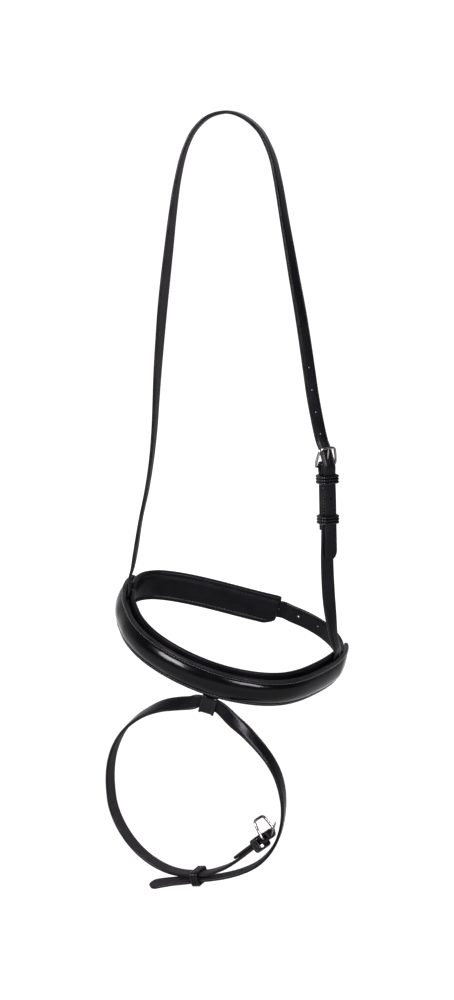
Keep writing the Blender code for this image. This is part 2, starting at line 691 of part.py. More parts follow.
def flash_loop(look):
    """Folded tab below the nosepiece's lower edge, round the flash strap, thinned where it bends."""
    y0 = LOOP_Y
    reach = STRAP_T / 2 + GAP + LOOP_T / 2
    r = reach
    low = STRAP_Z - STRAP_W / 2 - 0.9
    points = [(y0, LOOP_TOP - 0.35), (y0 - r * 0.5, -17.6), (y0 - r, -19.9), (y0 - r, low + 2)]
    for a in (0, 30, 60, 90, 120, 150, 180):
        q = math.radians(a)
        points.append((y0 - r * math.cos(q), low - r * 0.75 * math.sin(q)))
    points += [(y0 + r, low + 3), (y0 + r, -24.0), (y0 + r, -19.9)]
    rows = [tuple(ring(0.0, y, z)) + tuple(RING @ Vector((1.0, 0.0, 0.0))) for y, z in points]
    track = Track(rows, 0.6)
    thin = [(0.0, 0.45), (1.6, 1.0), (track.length, 1.0)]
    return sweep("flash_loop", track, flat_profile(15.0, LOOP_T, 0.42), look, 2.2, thin=thin, home=LOOP_HOME)


def loop_tail(look):
    """The tab's tail, stitched in its pocket between strap and lining."""
    rows = [tuple(ring(0.0, LOOP_Y, z)) + tuple(RING @ Vector((1.0, 0.0, 0.0)))
            for z in (-3.0, -9.0, LOOP_TOP + 0.4)]
    track = Track(rows, 0.6)
    thin = [(0.0, 1.0), (track.length - 1.2, 1.0), (track.length, 0.5)]
    return sweep("flash_loop_tail", track, flat_profile(15.0, LOOP_T, 0.42), look, 6.0, thin=thin, home=SWING)


LOOP_TOP = -16.0
LOOP_HOME = ring(0.0, LOOP_Y, LOOP_TOP)
# flash strap from its tip, through the runner, up the right, through the loop, down the left, to the buckle
FLASH_LINE = [(-67.5, -74.5, -738.0, 0.14, 0.90, 0.34), (-56.7, -75.6, -734.6, 0.16, 0.92, 0.28),
              (-42.0, -77.6, -730.6, 0.20, 0.94, 0.18), (-28.0, -80.8, -727.2, 0.26, 0.95, 0.10),
              (-16.5, -84.0, -723.3, 0.29, 0.96, 0.04), (-5.2, -87.0, -720.2, 0.28, 0.96, 0.0),
              (10.0, -89.4, -715.6, 0.22, 0.98, 0.0), (25.6, -91.2, -709.2, 0.18, 0.98, 0.0),
              (40.4, -92.6, -700.0, 0.16, 0.98, 0.0), (52.2, -93.9, -686.6, 0.14, 0.99, 0.0),
              (60.0, -95.0, -670.5, 0.12, 0.99, 0.0), (63.9, -95.6, -653.6, 0.10, 0.99, 0.0),
              (64.8, -95.6, -637.0, 0.18, 0.98, 0.04), (63.0, -95.2, -621.7, 0.30, 0.94, 0.10),
              (58.9, -94.5, -607.4, 0.36, 0.91, 0.20), (52.6, -93.7, -595.0, 0.36, 0.88, 0.30),
              (44.8, -92.6, -584.4, 0.34, 0.83, 0.44), (36.2, -91.2, -575.0, 0.33, 0.76, 0.56),
              (27.2, -89.6, -566.2, 0.34, 0.64, 0.69), (17.6, -88.0, -558.6, 0.34, 0.42, 0.84)]
FLASH_LEFT = [(-23.6, -83.6, -542.6, 0.14, 0.10, 0.97), (-37.4, -77.8, -546.4, -0.02, 0.42, 0.88),
              (-53.0, -68.6, -552.6, -0.06, 0.78, 0.56), (-68.5, -58.6, -562.2, 0.04, 0.95, 0.24),
              (-83.5, -50.0, -574.6, 0.14, 0.97, 0.12), (-96.4, -43.4, -589.6, 0.26, 0.96, 0.05),
              (-105.5, -38.6, -606.7, 0.36, 0.93, 0.0), (-110.8, -35.8, -624.3, 0.42, 0.91, 0.0),
              (-112.8, -34.6, -641.4, 0.45, 0.89, 0.0), (-112.4, -34.8, -657.5, 0.46, 0.88, 0.0),
              (-110.2, -36.0, -672.6, 0.47, 0.88, 0.0), (-105.0, -38.8, -686.0, 0.47, 0.88, 0.0),
              (-97.7, -42.6, -697.6, 0.47, 0.88, 0.0), (-88.5, -47.4, -707.5, 0.46, 0.89, 0.0),
              (-77.7, -52.8, -715.4, 0.44, 0.90, 0.0), (-65.1, -59.4, -720.8, 0.42, 0.91, 0.0),
              (-51.4, -66.4, -723.6, 0.38, 0.93, 0.0), (-36.6, -74.2, -723.0, 0.34, 0.94, 0.0),
              (-17.0, -82.8, -718.4, 0.29, 0.96, 0.0), (-7.0, -86.6, -714.9, 0.32, 0.95, 0.0),
              (1.7, -90.1, -710.0, 0.38, 0.93, 0.0), (11.0, -94.6, -703.6, 0.43, 0.90, 0.0),
              (20.6, -99.5, -694.8, 0.46, 0.89, 0.0), (30.2, -104.1, -684.6, 0.47, 0.88, 0.0),
              (38.6, -108.3, -675.6, 0.47, 0.88, 0.0), (46.6, -112.4, -667.0, 0.47, 0.88, 0.0),
              (54.4, -116.4, -658.6, 0.47, 0.88, 0.0)]


def through_loop():
    return [tuple(ring(x, LOOP_Y, STRAP_Z)) + tuple(RING_UP) for x in (9.0, 0.0, -9.0)]


FLASH = Track(FLASH_LINE + through_loop() + FLASH_LEFT, 1.5)
FLASH_BAR = FLASH.length - 1.5
FLASH_RUNNER = FLASH.near(-18.0, -82.4, -718.6)


def flash_strap(look):
    """One strap: pricked tip end, hoop, and the end turned over the buckle bar."""
    rise = -1.65
    bar = FLASH_BAR
    side = [(s, 0.0) for s in np.arange(0.0, bar - 24, 6.0)]
    side = turn_points(bar, 1, side, rise, STRAP_T, 46.0, 1.65)
    track = Track(side_rows(FLASH, side), 1.0)
    wide = [(10.0 - s, k) for s, k in reversed(tip_scales(10.0, 10.0))] + [(track.length, 1.0)]
    made = sweep("flash_strap", track, flat_profile(STRAP_W, STRAP_T), look, 7.0, wide=wide, home=LOOP_HOME)
    marks = [34.0 + HOLE_PITCH * k for k in range(6)]
    cut(made, hole_line("cut_flash_holes", track, marks, STRAP_T, 1.4))
    cut(made, slot_box("cut_flash_slot", FLASH, bar, 1, rise, 8.0, 8.0, 1.7))
    return made


# ---------------------------------------------------------------- build
def build():
    hide = material("black bridle leather", LEATHER, 0.34)
    shine = material("glossy nosepiece leather", LEATHER, 0.18)
    soft = material("soft padded leather", LINING, 0.55)
    bright = material("stainless steel", STEEL, 0.22, 1.0)

    nose_strap(shine.copy())
    backing(hide.copy())
    nose_padding(soft.copy())
    chin_pad(soft.copy())
    chin_strap(hide.copy())
    made, path = tongue("chin_buckle_tongue", STACK, CHIN_BAR, 1, CHIN_RISE, CHIN_TONGUE, bright.copy())
    shank = rods("cut_chin_prick", [(path[7], path[10] + (path[10] - path[7]) * 0.4, 2.1)])
    strap = billet(hide.copy(), path[8])
    cut(strap, shank)
    buckle("chin_buckle_frame", STACK, CHIN_BAR, 1, CHIN_RISE, 10.0, 27.0, 23.0, 18.0, bright.copy())
    stack = CHIN_RISE + 1.55 + BILLET_T * 1.5 + GAP * 2
    under = CHIN_RISE - 1.55 - BILLET_T / 2 - GAP
    keeper("chin_fixed_keeper", STACK, CHIN_BAR - 14.0, 9.0, under, stack + 0.4, 10.1, hide.copy(), thick=1.6)
    keeper("chin_runner_keeper", STACK, CHIN_BAR - 47.0, 9.0, under + 2.4, stack + 0.4, 10.1, hide.copy(), thick=1.6)

    cheek_strap(hide.copy())
    made, path = tongue("cheek_buckle_tongue", CHEEK, CHEEK_BAR, -1, 0.0, CHEEK_TONGUE, bright.copy())
    shank = rods("cut_cheek_prick", [(path[7], path[10] + (path[10] - path[7]) * 0.4, 1.9)])
    headpiece(hide.copy(), path[8], shank)
    buckle("cheek_buckle_frame", CHEEK, CHEEK_BAR, -1, 0.0, 15.5, 21.6, 17.6, 17.8, bright.copy())
    keeper("cheek_fixed_keeper", CHEEK, CHEEK_BAR + 13.0, 8.6, -3.5, 7.3, 8.1, hide.copy(), shift=-0.6)
    keeper("cheek_runner_keeper", CHEEK, CHEEK_BAR + 52.6, 8.6, -3.5, 6.9, 8.0, hide.copy(), shift=-0.8)

    hanger_foot("headpiece_foot", LEFT_FOOT, LEFT_PIVOT, LEFT_S, 1.0, hide.copy())
    hanger_foot("cheek_foot", RIGHT_FOOT, RIGHT_PIVOT, RIGHT_S, -1.0, hide.copy())
    loop_tail(hide.copy())
    flash_loop(hide.copy())
    flash_strap(hide.copy())
    tongue("flash_buckle_tongue", FLASH, FLASH_BAR, 1, -1.65, (16.0, -5.5), bright.copy())
    buckle("flash_buckle_frame", FLASH, FLASH_BAR, 1, -1.65, -FLASH_FLIP, 21.0, 17.0, 17.8, bright.copy())
    keeper("flash_fixed_keeper", FLASH, FLASH_BAR - 14.0, 8.6, -5.2, 4.6, 7.0, hide.copy())
    keeper("flash_runner_keeper", FLASH, FLASH_RUNNER, 8.6, -2.8, 8.0, 8.5, hide.copy())


build()
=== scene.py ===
import json
import math
import random

import bmesh
import bpy
import numpy as np
from mathutils import Matrix, Vector, noise
from mathutils.kdtree import KDTree

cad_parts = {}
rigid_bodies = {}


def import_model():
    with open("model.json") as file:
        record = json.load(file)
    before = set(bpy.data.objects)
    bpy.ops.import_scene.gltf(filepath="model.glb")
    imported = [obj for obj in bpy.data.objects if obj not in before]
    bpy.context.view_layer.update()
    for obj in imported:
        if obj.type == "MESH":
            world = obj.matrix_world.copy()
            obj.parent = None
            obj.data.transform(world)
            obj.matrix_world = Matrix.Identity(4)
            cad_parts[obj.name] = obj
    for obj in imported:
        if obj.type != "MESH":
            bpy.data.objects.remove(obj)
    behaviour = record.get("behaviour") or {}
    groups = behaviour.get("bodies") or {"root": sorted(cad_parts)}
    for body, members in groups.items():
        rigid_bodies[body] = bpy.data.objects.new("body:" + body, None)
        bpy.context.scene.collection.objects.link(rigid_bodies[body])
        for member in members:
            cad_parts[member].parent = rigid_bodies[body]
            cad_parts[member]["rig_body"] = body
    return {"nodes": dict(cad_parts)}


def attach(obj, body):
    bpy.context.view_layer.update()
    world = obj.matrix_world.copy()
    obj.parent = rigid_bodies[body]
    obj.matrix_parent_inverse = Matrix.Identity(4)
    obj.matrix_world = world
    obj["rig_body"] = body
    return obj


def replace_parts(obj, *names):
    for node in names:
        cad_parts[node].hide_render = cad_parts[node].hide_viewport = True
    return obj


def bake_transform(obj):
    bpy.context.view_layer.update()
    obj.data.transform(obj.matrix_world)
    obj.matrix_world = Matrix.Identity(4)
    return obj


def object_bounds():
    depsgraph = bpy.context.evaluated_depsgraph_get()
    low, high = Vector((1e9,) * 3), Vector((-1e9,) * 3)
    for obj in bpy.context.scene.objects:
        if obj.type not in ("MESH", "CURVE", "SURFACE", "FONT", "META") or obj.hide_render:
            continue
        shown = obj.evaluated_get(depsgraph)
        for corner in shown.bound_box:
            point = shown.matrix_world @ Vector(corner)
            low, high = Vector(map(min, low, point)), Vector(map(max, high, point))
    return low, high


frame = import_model()
cad_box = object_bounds()

# Looks of the flash noseband. Lengths below are millimetres in the part's own frame.
MM = 0.001
random.seed(7)

# ---- sizes shared with the part
STRAP_W = 13.0
STRAP_T = 3.0
BILLET_W = 19.0
BILLET_T = 2.8
GAP = 0.3
HOLE_R = 1.05
HOLE_PITCH = 21.5
CHIN_HOLE_PITCH = 24.0
NOSE_T = 4.5
NOSE_END_T = 3.2
NOSE_LOW = -15.0
NOSE_HIGH = 12.0
MIDDLE_T = 3.0
PAD_T = 5.0
PAD_LOW = -16.0
PAD_HIGH = 16.4
CHIN_PAD_W = 34.6
CHIN_PAD_T = 7.0
HANGER_Y = -16.0
HANGER_Z = 13.0
HANGER_R = 6.3
HANGER_THIN = 0.78
CROWN_LIFT = Vector((0.0, 0.0, 3.3))
RING_AT = Vector((3.8, 17.8, -501.3))
LET_OUT = 1.014
RING_PITCH = 8.8
RING_ROLL = 15.6
WIRE_R = 1.25
TONGUE_R = 1.0
FLASH_FLIP = 86.0
SLOT = 4.6
CHEEK_SLACK = 1.65
CHIN_SLACK = 1.55
KEEPER_LONG = 8.6
CHIN_KEEPER_LONG = 9.0
SIM_SCALE = 20.0
SIM_FRAMES = 20
SIM_PRESSURE = 4.0
TONGUE_STEPS = 13

# faces of a strap: grain side, burnished edge, flesh side
GRAIN, EDGE, FLESH = 0, 1, 2


# ---- curves
def catmull(rows, step):
    """Rows of numbers, the first three a position, as a smooth curve sampled at equal lengths."""
    rows = np.array(rows, float)
    rows = np.vstack([2.0 * rows[0] - rows[1], rows, 2.0 * rows[-1] - rows[-2]])
    fine = []
    for k in range(1, len(rows) - 2):
        a, b, c, d = rows[k - 1:k + 3]
        ta = 0.0
        tb = ta + max(np.linalg.norm((b - a)[:3]), 1e-6) ** 0.5
        tc = tb + max(np.linalg.norm((c - b)[:3]), 1e-6) ** 0.5
        td = tc + max(np.linalg.norm((d - c)[:3]), 1e-6) ** 0.5
        for t in np.linspace(tb, tc, 24, endpoint=False):
            ab = (tb - t) / (tb - ta) * a + (t - ta) / (tb - ta) * b
            bc = (tc - t) / (tc - tb) * b + (t - tb) / (tc - tb) * c
            cd = (td - t) / (td - tc) * c + (t - tc) / (td - tc) * d
            abc = (tc - t) / (tc - ta) * ab + (t - ta) / (tc - ta) * bc
            bcd = (td - t) / (td - tb) * bc + (t - tb) / (td - tb) * cd
            fine.append((tc - t) / (tc - tb) * abc + (t - tb) / (tc - tb) * bcd)
    fine.append(rows[-2])
    fine = np.array(fine)
    run = np.concatenate([[0.0], np.cumsum(np.linalg.norm(np.diff(fine[:, :3], axis=0), axis=1))])
    count = max(2, int(round(run[-1] / step)) + 1)
    at = np.linspace(0.0, run[-1], count)
    return np.stack([np.interp(at, run, fine[:, k]) for k in range(fine.shape[1])], 1)


class Track:
    """A centre line with a frame at every length: T along, W across the strap, N out of its face."""

    def __init__(self, rows, step=1.5):
        rows = catmull(rows, step)
        self.p = rows[:, :3]
        along = np.gradient(self.p, axis=0)
        self.t = along / np.linalg.norm(along, axis=1)[:, None]
        out = np.cross(rows[:, 3:6], self.t)
        self.n = out / np.linalg.norm(out, axis=1)[:, None]
        gaps = np.linalg.norm(np.diff(self.p, axis=0), axis=1)
        self.s = np.concatenate([[0.0], np.cumsum(gaps)])
        self.length = float(self.s[-1])

    def frame(self, s):
        inside = min(max(s, 0.0), self.length)
        p, t, n = (np.array([np.interp(inside, self.s, a[:, k]) for k in range(3)])
                   for a in (self.p, self.t, self.n))
        t = t / np.linalg.norm(t)
        n = n - t * float(n @ t)
        n = n / np.linalg.norm(n)
        return p + t * (s - inside), t, n, np.cross(t, n)

    def point(self, s, h=0.0, across=0.0):
        p, t, n, w = self.frame(s)
        return Vector(p + n * h + w * across)

    def marks(self, s0, s1, step, turn=6.0):
        """Lengths to put sections at: at most step apart, closer where the strap bends or twists."""
        most = math.cos(math.radians(turn))
        made = [s0]
        _, t0, n0, _ = self.frame(s0)
        for s in np.arange(s0, s1, 0.3).tolist():
            _, t, n, _ = self.frame(s)
            if s - made[-1] >= step or float(t @ t0) < most or float(n @ n0) < most:
                made.append(s)
                t0, n0 = t, n
        if s1 - made[-1] < 0.25 and len(made) > 1:
            made.pop()
        return made + [s1]

    def near(self, x, y, z):
        away = np.linalg.norm(self.p - np.array([x, y, z]), axis=1)
        return float(self.s[int(np.argmin(away))])


def side_rows(track, points):
    """Points (s, h) or (s, h, across) in a track's own side view, as rows for another track."""
    rows = []
    for at in points:
        across = at[2] if len(at) > 2 else 0.0
        rows.append(tuple(track.point(at[0], at[1], across)) + tuple(track.frame(at[0])[3]))
    return rows


def turn_points(bar, way, rest, rise, thick, back, slack):
    """Side view of a strap end coming in over a bar, round it and back under itself."""
    r = WIRE_R + GAP + thick / 2
    rows = [(bar - way * 13.0, rise + slack), (bar - way * 8.0, rise + slack + 0.25),
            (bar - way * 4.0, rise + r * 0.87)]
    for a in (-15, 15, 45, 75, 105, 135, 165, 195):
        q = math.radians(a)
        rows.append((bar + way * r * math.sin(q), rise + r * math.cos(q)))
    rows += [(bar - way * 4.0, rise - r * 0.87), (bar - way * 8.0, rise - slack - 0.25),
             (bar - way * 13.0, rise - slack), (bar - way * back * 0.6, rise - slack),
             (bar - way * back, rise - slack)]
    return rest + rows


# ---- the lines that the straps follow
RING = Matrix.Rotation(math.radians(RING_ROLL), 3, "Y") @ Matrix.Rotation(math.radians(RING_PITCH), 3, "X")
RING_UP = RING @ Vector((0.0, 0.0, 1.0))


def ring(x, y, z=0.0):
    return RING_AT + RING @ Vector((x, y, z))


def ring_row(x, y, z=0.0, up=1.0):
    return tuple(ring(x * LET_OUT, y * LET_OUT, z)) + tuple(RING_UP * up)


def turned(x, z, turn):
    q = math.radians(turn)
    return (x, 0.0, z, -math.sin(q), -math.cos(q), 0.0)


NOSE_LINE = [(-110.8, 31), (-114.8, 16), (-115.2, 0), (-113, -16), (-109.5, -31), (-104, -44), (-95, -62),
             (-81, -79.5), (-65, -92.5), (-45, -103), (-23, -110), (0, -112.8), (23, -110.5), (46, -103),
             (65, -91), (81, -73.5), (96, -49), (104.5, -32), (110.6, -16), (113.8, 0), (114.4, 12),
             (112.8, 24)]
CHIN_LINE = [(-108.2, -2), (-108.2, 10), (-106.6, 22), (-101.2, 33.2), (-90.1, 44.0), (-73.4, 52.0),
             (-52.4, 57.4), (-30.8, 60.7), (-10.5, 62.6), (9.5, 64.4), (26, 66.4), (37.5, 68.4)]
STACK_DROP = [0, 0, 0, 1.0, 2.2, 3.2, 3.4, 3.4, 3.4, 3.2, 2.6, 1.9]
LEFT_BRANCH = [(-96.2, -447, -6), (-93.6, -438, -2), (-90.2, -420, 3), (-84.8, -388, 0), (-78.3, -358, 2.5),
               (-73.4, -328, 4), (-70.2, -298, 9), (-68.3, -269, 14), (-66.4, -240, 21), (-64.0, -211.5, 26),
               (-61.4, -183, 31), (-58.3, -155, 31), (-54.9, -127, 27), (-51.5, -99, 21), (-47.6, -72, 15),
               (-44.9, -58, 12), (-41.8, -44.7, 10), (-37.2, -31.2, 7), (-30.1, -17.8, 7), (-17.2, -6.0, 8)]
RIGHT_BRANCH = [(0, -1.8, 10), (14.9, -5.8, 12), (29.8, -17.7, 14), (37.6, -31, 16), (42.8, -44.4, 20),
                (46.0, -57.9, 23), (48.7, -71.4, 26), (53.4, -98.5, 30), (58.4, -125.9, 37),
                (63.4, -153.5, 43), (68.6, -181.3, 50), (73.3, -209.3, 54), (77.7, -237.6, 57),
                (82.2, -266.1, 58)]
CHEEK_LINE = [(92.1, -296, 57), (94.5, -329.5, 56), (95.0, -345, 56), (95.6, -365, 56), (96.4, -395, 58),
              (97.6, -429, 66), (99.6, -460, 68), (101.9, -480, 52), (104.4, -497, 30)]
CHEEK_BILLET = [(-24, -1.8, 1.4), (-16.5, 0.8, 0.2), (-8, 3.8, -0.2), (-4, 5.4, -0.3), (0, 6.45, -0.4),
                (4, 6.2, -0.6), (8, 5.5, -0.8), (13, 5.1, -1.0), (30, 5.05, -1.4), (54, 5.05, -1.6),
                (76, 5.1, -1.8), (92, 5.6, -1.8)]
FLASH_LINE = [(-67.5, -74.5, -738, 0.14, 0.9, 0.34), (-56.7, -75.6, -734.6, 0.16, 0.92, 0.28),
              (-42, -77.6, -730.6, 0.2, 0.94, 0.18), (-28, -80.8, -727.2, 0.26, 0.95, 0.1),
              (-16.5, -84, -723.3, 0.29, 0.96, 0.04), (-5.2, -87, -720.2, 0.28, 0.96, 0),
              (10, -89.4, -715.6, 0.22, 0.98, 0), (25.6, -91.2, -709.2, 0.18, 0.98, 0),
              (40.4, -92.6, -700, 0.16, 0.98, 0), (52.2, -93.9, -686.6, 0.14, 0.99, 0),
              (60, -95, -670.5, 0.12, 0.99, 0), (63.9, -95.6, -653.6, 0.1, 0.99, 0),
              (64.8, -95.6, -637, 0.18, 0.98, 0.04), (63, -95.2, -621.7, 0.3, 0.94, 0.1),
              (58.9, -94.5, -607.4, 0.36, 0.91, 0.2), (52.6, -93.7, -595, 0.36, 0.88, 0.3),
              (44.8, -92.6, -584.4, 0.34, 0.83, 0.44), (36.2, -91.2, -575, 0.33, 0.76, 0.56),
              (27.2, -89.6, -566.2, 0.34, 0.64, 0.69), (17.6, -88, -558.6, 0.34, 0.42, 0.84)]
FLASH_LEFT = [(-23.6, -83.6, -542.6, 0.14, 0.1, 0.97), (-37.4, -77.8, -546.4, -0.02, 0.42, 0.88),
              (-53, -68.6, -552.6, -0.06, 0.78, 0.56), (-68.5, -58.6, -562.2, 0.04, 0.95, 0.24),
              (-83.5, -50, -574.6, 0.14, 0.97, 0.12), (-96.4, -43.4, -589.6, 0.26, 0.96, 0.05),
              (-105.5, -38.6, -606.7, 0.36, 0.93, 0), (-110.8, -35.8, -624.3, 0.42, 0.91, 0),
              (-112.8, -34.6, -641.4, 0.45, 0.89, 0), (-112.4, -34.8, -657.5, 0.46, 0.88, 0),
              (-110.2, -36, -672.6, 0.47, 0.88, 0), (-105, -38.8, -686, 0.47, 0.88, 0),
              (-97.7, -42.6, -697.6, 0.47, 0.88, 0), (-88.5, -47.4, -707.5, 0.46, 0.89, 0),
              (-77.7, -52.8, -715.4, 0.44, 0.9, 0), (-65.1, -59.4, -720.8, 0.42, 0.91, 0),
              (-51.4, -66.4, -723.6, 0.38, 0.93, 0), (-36.6, -74.2, -723, 0.34, 0.94, 0),
              (-17, -82.8, -718.4, 0.29, 0.96, 0), (-7, -86.6, -714.9, 0.32, 0.95, 0),
              (1.7, -90.1, -710, 0.38, 0.93, 0), (11, -94.6, -703.6, 0.43, 0.9, 0),
              (20.6, -99.5, -694.8, 0.46, 0.89, 0), (30.2, -104.1, -684.6, 0.47, 0.88, 0),
              (38.6, -108.3, -675.6, 0.47, 0.88, 0), (46.6, -112.4, -667, 0.47, 0.88, 0),
              (54.4, -116.4, -658.6, 0.47, 0.88, 0)]

NOSE = Track([ring_row(x, y, 0.0, -1.0) for x, y in NOSE_LINE])
CHIN = Track([ring_row(x, y) for x, y in CHIN_LINE])
STACK = Track([ring_row(x, y, -drop) for (x, y), drop in zip(CHIN_LINE, STACK_DROP)])
MIDDLE = -(NOSE_T + GAP + MIDDLE_T / 2)
LINING_AT = -(NOSE_T + GAP + MIDDLE_T + GAP)
LEFT_S = NOSE.near(*ring(-114.6, HANGER_Y))
RIGHT_S = NOSE.near(*ring(111.4, HANGER_Y - 3))


def foot_rows(s, side, heights):
    """A hanger's line between the nosepiece's layers, at heights above the ring's middle."""
    foot = NOSE.point(s, MIDDLE)
    w = NOSE.frame(s)[1] * side
    return [tuple(foot + RING_UP * z) + tuple(w) for z in heights]


HANGER_HEIGHTS = (16.0, 12.0, HANGER_Z - HANGER_R)
SEWN_HEIGHTS = (0.0, -7.5)
CHEEK = Track([turned(*row) for row in CHEEK_LINE] + foot_rows(RIGHT_S, -1.0, HANGER_HEIGHTS))
CHEEK_BAR = CHEEK.near(94.5, 0.0, -329.5)
CHEEK_TONGUE = (17.6, 6.9)
CHIN_BAR = STACK.length - 33.0
CHIN_RISE = GAP + WIRE_R + GAP + BILLET_T / 2 + BILLET_T / 2 + 2.3
CHIN_TONGUE = (17.6, 5.6)
LOOP_Y = -112.8 * LET_OUT - MIDDLE
LOOP_TOP = -16.0
STRAP_Z = -26.4
LOOP_T = 2.0
THROUGH = [tuple(ring(x, LOOP_Y, STRAP_Z)) + tuple(RING_UP) for x in (9.0, 0.0, -9.0)]
FLASH = Track(FLASH_LINE + THROUGH + FLASH_LEFT, 1.5)
FLASH_BAR = FLASH.length - 1.5
FLASH_RISE = -1.65
FLASH_TONGUE = (16.0, -5.5)
FLASH_RUNNER = FLASH.near(-18.0, -82.4, -718.6)


# ---- materials
class Look:
    """Short calls that build one material's nodes."""

    def __init__(self, name):
        self.material = bpy.data.materials.new(name)
        self.material.use_nodes = True
        self.tree = self.material.node_tree
        self.shader = self.tree.nodes["Principled BSDF"]

    def node(self, kind, links=(), **values):
        made = self.tree.nodes.new("ShaderNode" + kind)
        for key, value in values.items():
            if key.islower():
                setattr(made, key, value)
            else:
                made.inputs[key.replace("_", " ")].default_value = value
        for socket, source in links:
            self.tree.links.new(source, made.inputs[socket])
        return made

    def set(self, **values):
        for key, value in values.items():
            self.shader.inputs[key.replace("_", " ")].default_value = value

    def drive(self, socket, source):
        self.tree.links.new(source, self.shader.inputs[socket])

    def place(self, stretch=(1.0, 1.0, 1.0), run=False):
        """Object coordinates, or the strap's own (along, across, out) ones."""
        if run:
            start = self.node("Attribute", attribute_name="run").outputs["Vector"]
        else:
            start = self.node("TexCoord").outputs["Object"]
        return self.node("Mapping", [("Vector", start)], Scale=stretch).outputs["Vector"]

    def cloud(self, place, scale, detail=3.0, rough=0.55):
        return self.node("TexNoise", [("Vector", place)], Scale=scale, Detail=detail,
                         Roughness=rough).outputs["Fac"]

    def cells(self, place, scale, feature="SMOOTH_F1"):
        return self.node("TexVoronoi", [("Vector", place)], feature=feature, Scale=scale).outputs["Distance"]

    def span(self, source, low, high, start=0.3, end=0.7):
        return self.node("MapRange", [("Value", source)], From_Min=start, From_Max=end, To_Min=low,
                         To_Max=high).outputs["Result"]

    def blend(self, factor, a, b):
        made = self.node("Mix", data_type="RGBA")
        self.tree.links.new(factor, made.inputs["Factor"])
        for socket, colour in ((made.inputs[6], a), (made.inputs[7], b)):
            if isinstance(colour, tuple):
                socket.default_value = colour
            else:
                self.tree.links.new(colour, socket)
        return made.outputs[2]

    def relief(self, layers):
        """Bumps one over another, each (height, strength, depth in metres)."""
        last = None
        for height, strength, depth in layers:
            bump = self.node("Bump", [("Height", height)], Strength=strength, Distance=depth)
            if last:
                self.tree.links.new(last, bump.inputs["Normal"])
            last = bump.outputs["Normal"]
        self.drive("Normal", last)


def leather(name, dark, light, rough, coat=0.0, coat_rough=0.15, grain=0.5, ripple=0.0, index=1.25):
    """Dyed and waxed hide: fine pore grain, cloudy colour, patchy polish and faint cross ripples."""
    look = Look(name)
    place = look.place()
    clouds = look.cloud(place, 38.0, 4.0)
    look.drive("Base Color", look.blend(look.span(clouds, 0.0, 1.0, 0.35, 0.65), dark, light))
    polish = look.cloud(place, 90.0, 5.0, 0.6)
    look.drive("Roughness", look.span(polish, rough - 0.06, rough + 0.09))
    pores = look.cells(place, 1700.0)
    fine = look.cloud(place, 2600.0, 2.0)
    soft = look.cloud(place, 160.0, 3.0)
    layers = [(soft, 0.35, 0.0005), (pores, 0.30 * grain, 0.00012), (fine, 0.25 * grain, 0.00006)]
    if ripple:
        lines = look.cloud(look.place((900.0, 90.0, 90.0), run=True), 1.0, 2.0)
        layers.append((lines, ripple, 0.00012))
    look.relief(layers)
    look.set(Coat_Weight=coat, Coat_Roughness=coat_rough, Coat_IOR=1.22, IOR=index)
    return look.material


def flesh(name, dark, light):
    """Dyed flesh side: short fibres lying along the strap, matt, slightly browner than the face."""
    look = Look(name)
    along = look.place((130.0, 900.0, 900.0), run=True)
    fibres = look.cloud(along, 1.0, 5.0, 0.65)
    look.drive("Base Color", look.blend(look.span(fibres, 0.0, 1.0), dark, light))
    look.drive("Roughness", look.span(fibres, 0.50, 0.72))
    look.set(IOR=1.22)
    nap = look.cloud(look.place(), 1500.0, 3.0)
    look.relief([(fibres, 0.5, 0.0003), (nap, 0.3, 0.0001)])
    return look.material


def edge_paint(name, dark, light):
    """Burnished strap edge: smoother, with fine lines along it and lighter rubbed places."""
    look = Look(name)
    lines = look.cloud(look.place((60.0, 500.0, 1600.0), run=True), 1.0, 3.0)
    worn = look.cloud(look.place(), 70.0, 4.0)
    look.drive("Base Color", look.blend(look.span(worn, 0.0, 1.0, 0.42, 0.68), dark, light))
    look.drive("Roughness", look.span(worn, 0.26, 0.42))
    look.set(IOR=1.25)
    look.relief([(lines, 0.3, 0.00012)])
    return look.material


def thread(name, dark, light):
    """Waxed linen thread: two plies twisted round each other."""
    look = Look(name)
    ply = look.node("TexWave", [("Vector", look.place())], Scale=900.0, Distortion=2.0).outputs["Fac"]
    look.drive("Base Color", look.blend(look.span(ply, 0.0, 1.0, 0.2, 0.8), dark, light))
    look.drive("Roughness", look.span(ply, 0.38, 0.52, 0.0, 1.0))
    look.relief([(ply, 0.6, 0.00008)])
    return look.material


def steel(name):
    """Polished stainless wire: bright, with fine rub marks and a duller bloom in places."""
    look = Look(name)
    place = look.place()
    bloom = look.cloud(place, 220.0, 4.0)
    marks = look.cloud(look.place((400.0, 2600.0, 400.0)), 1.0, 3.0)
    colour = look.blend(look.span(bloom, 0.0, 1.0), (0.14, 0.136, 0.13, 1.0), (0.25, 0.24, 0.23, 1.0))
    look.drive("Base Color", colour)
    look.drive("Roughness", look.span(bloom, 0.08, 0.20))
    look.relief([(marks, 0.18, 0.00005)])
    look.set(Metallic=1.0)
    return look.material


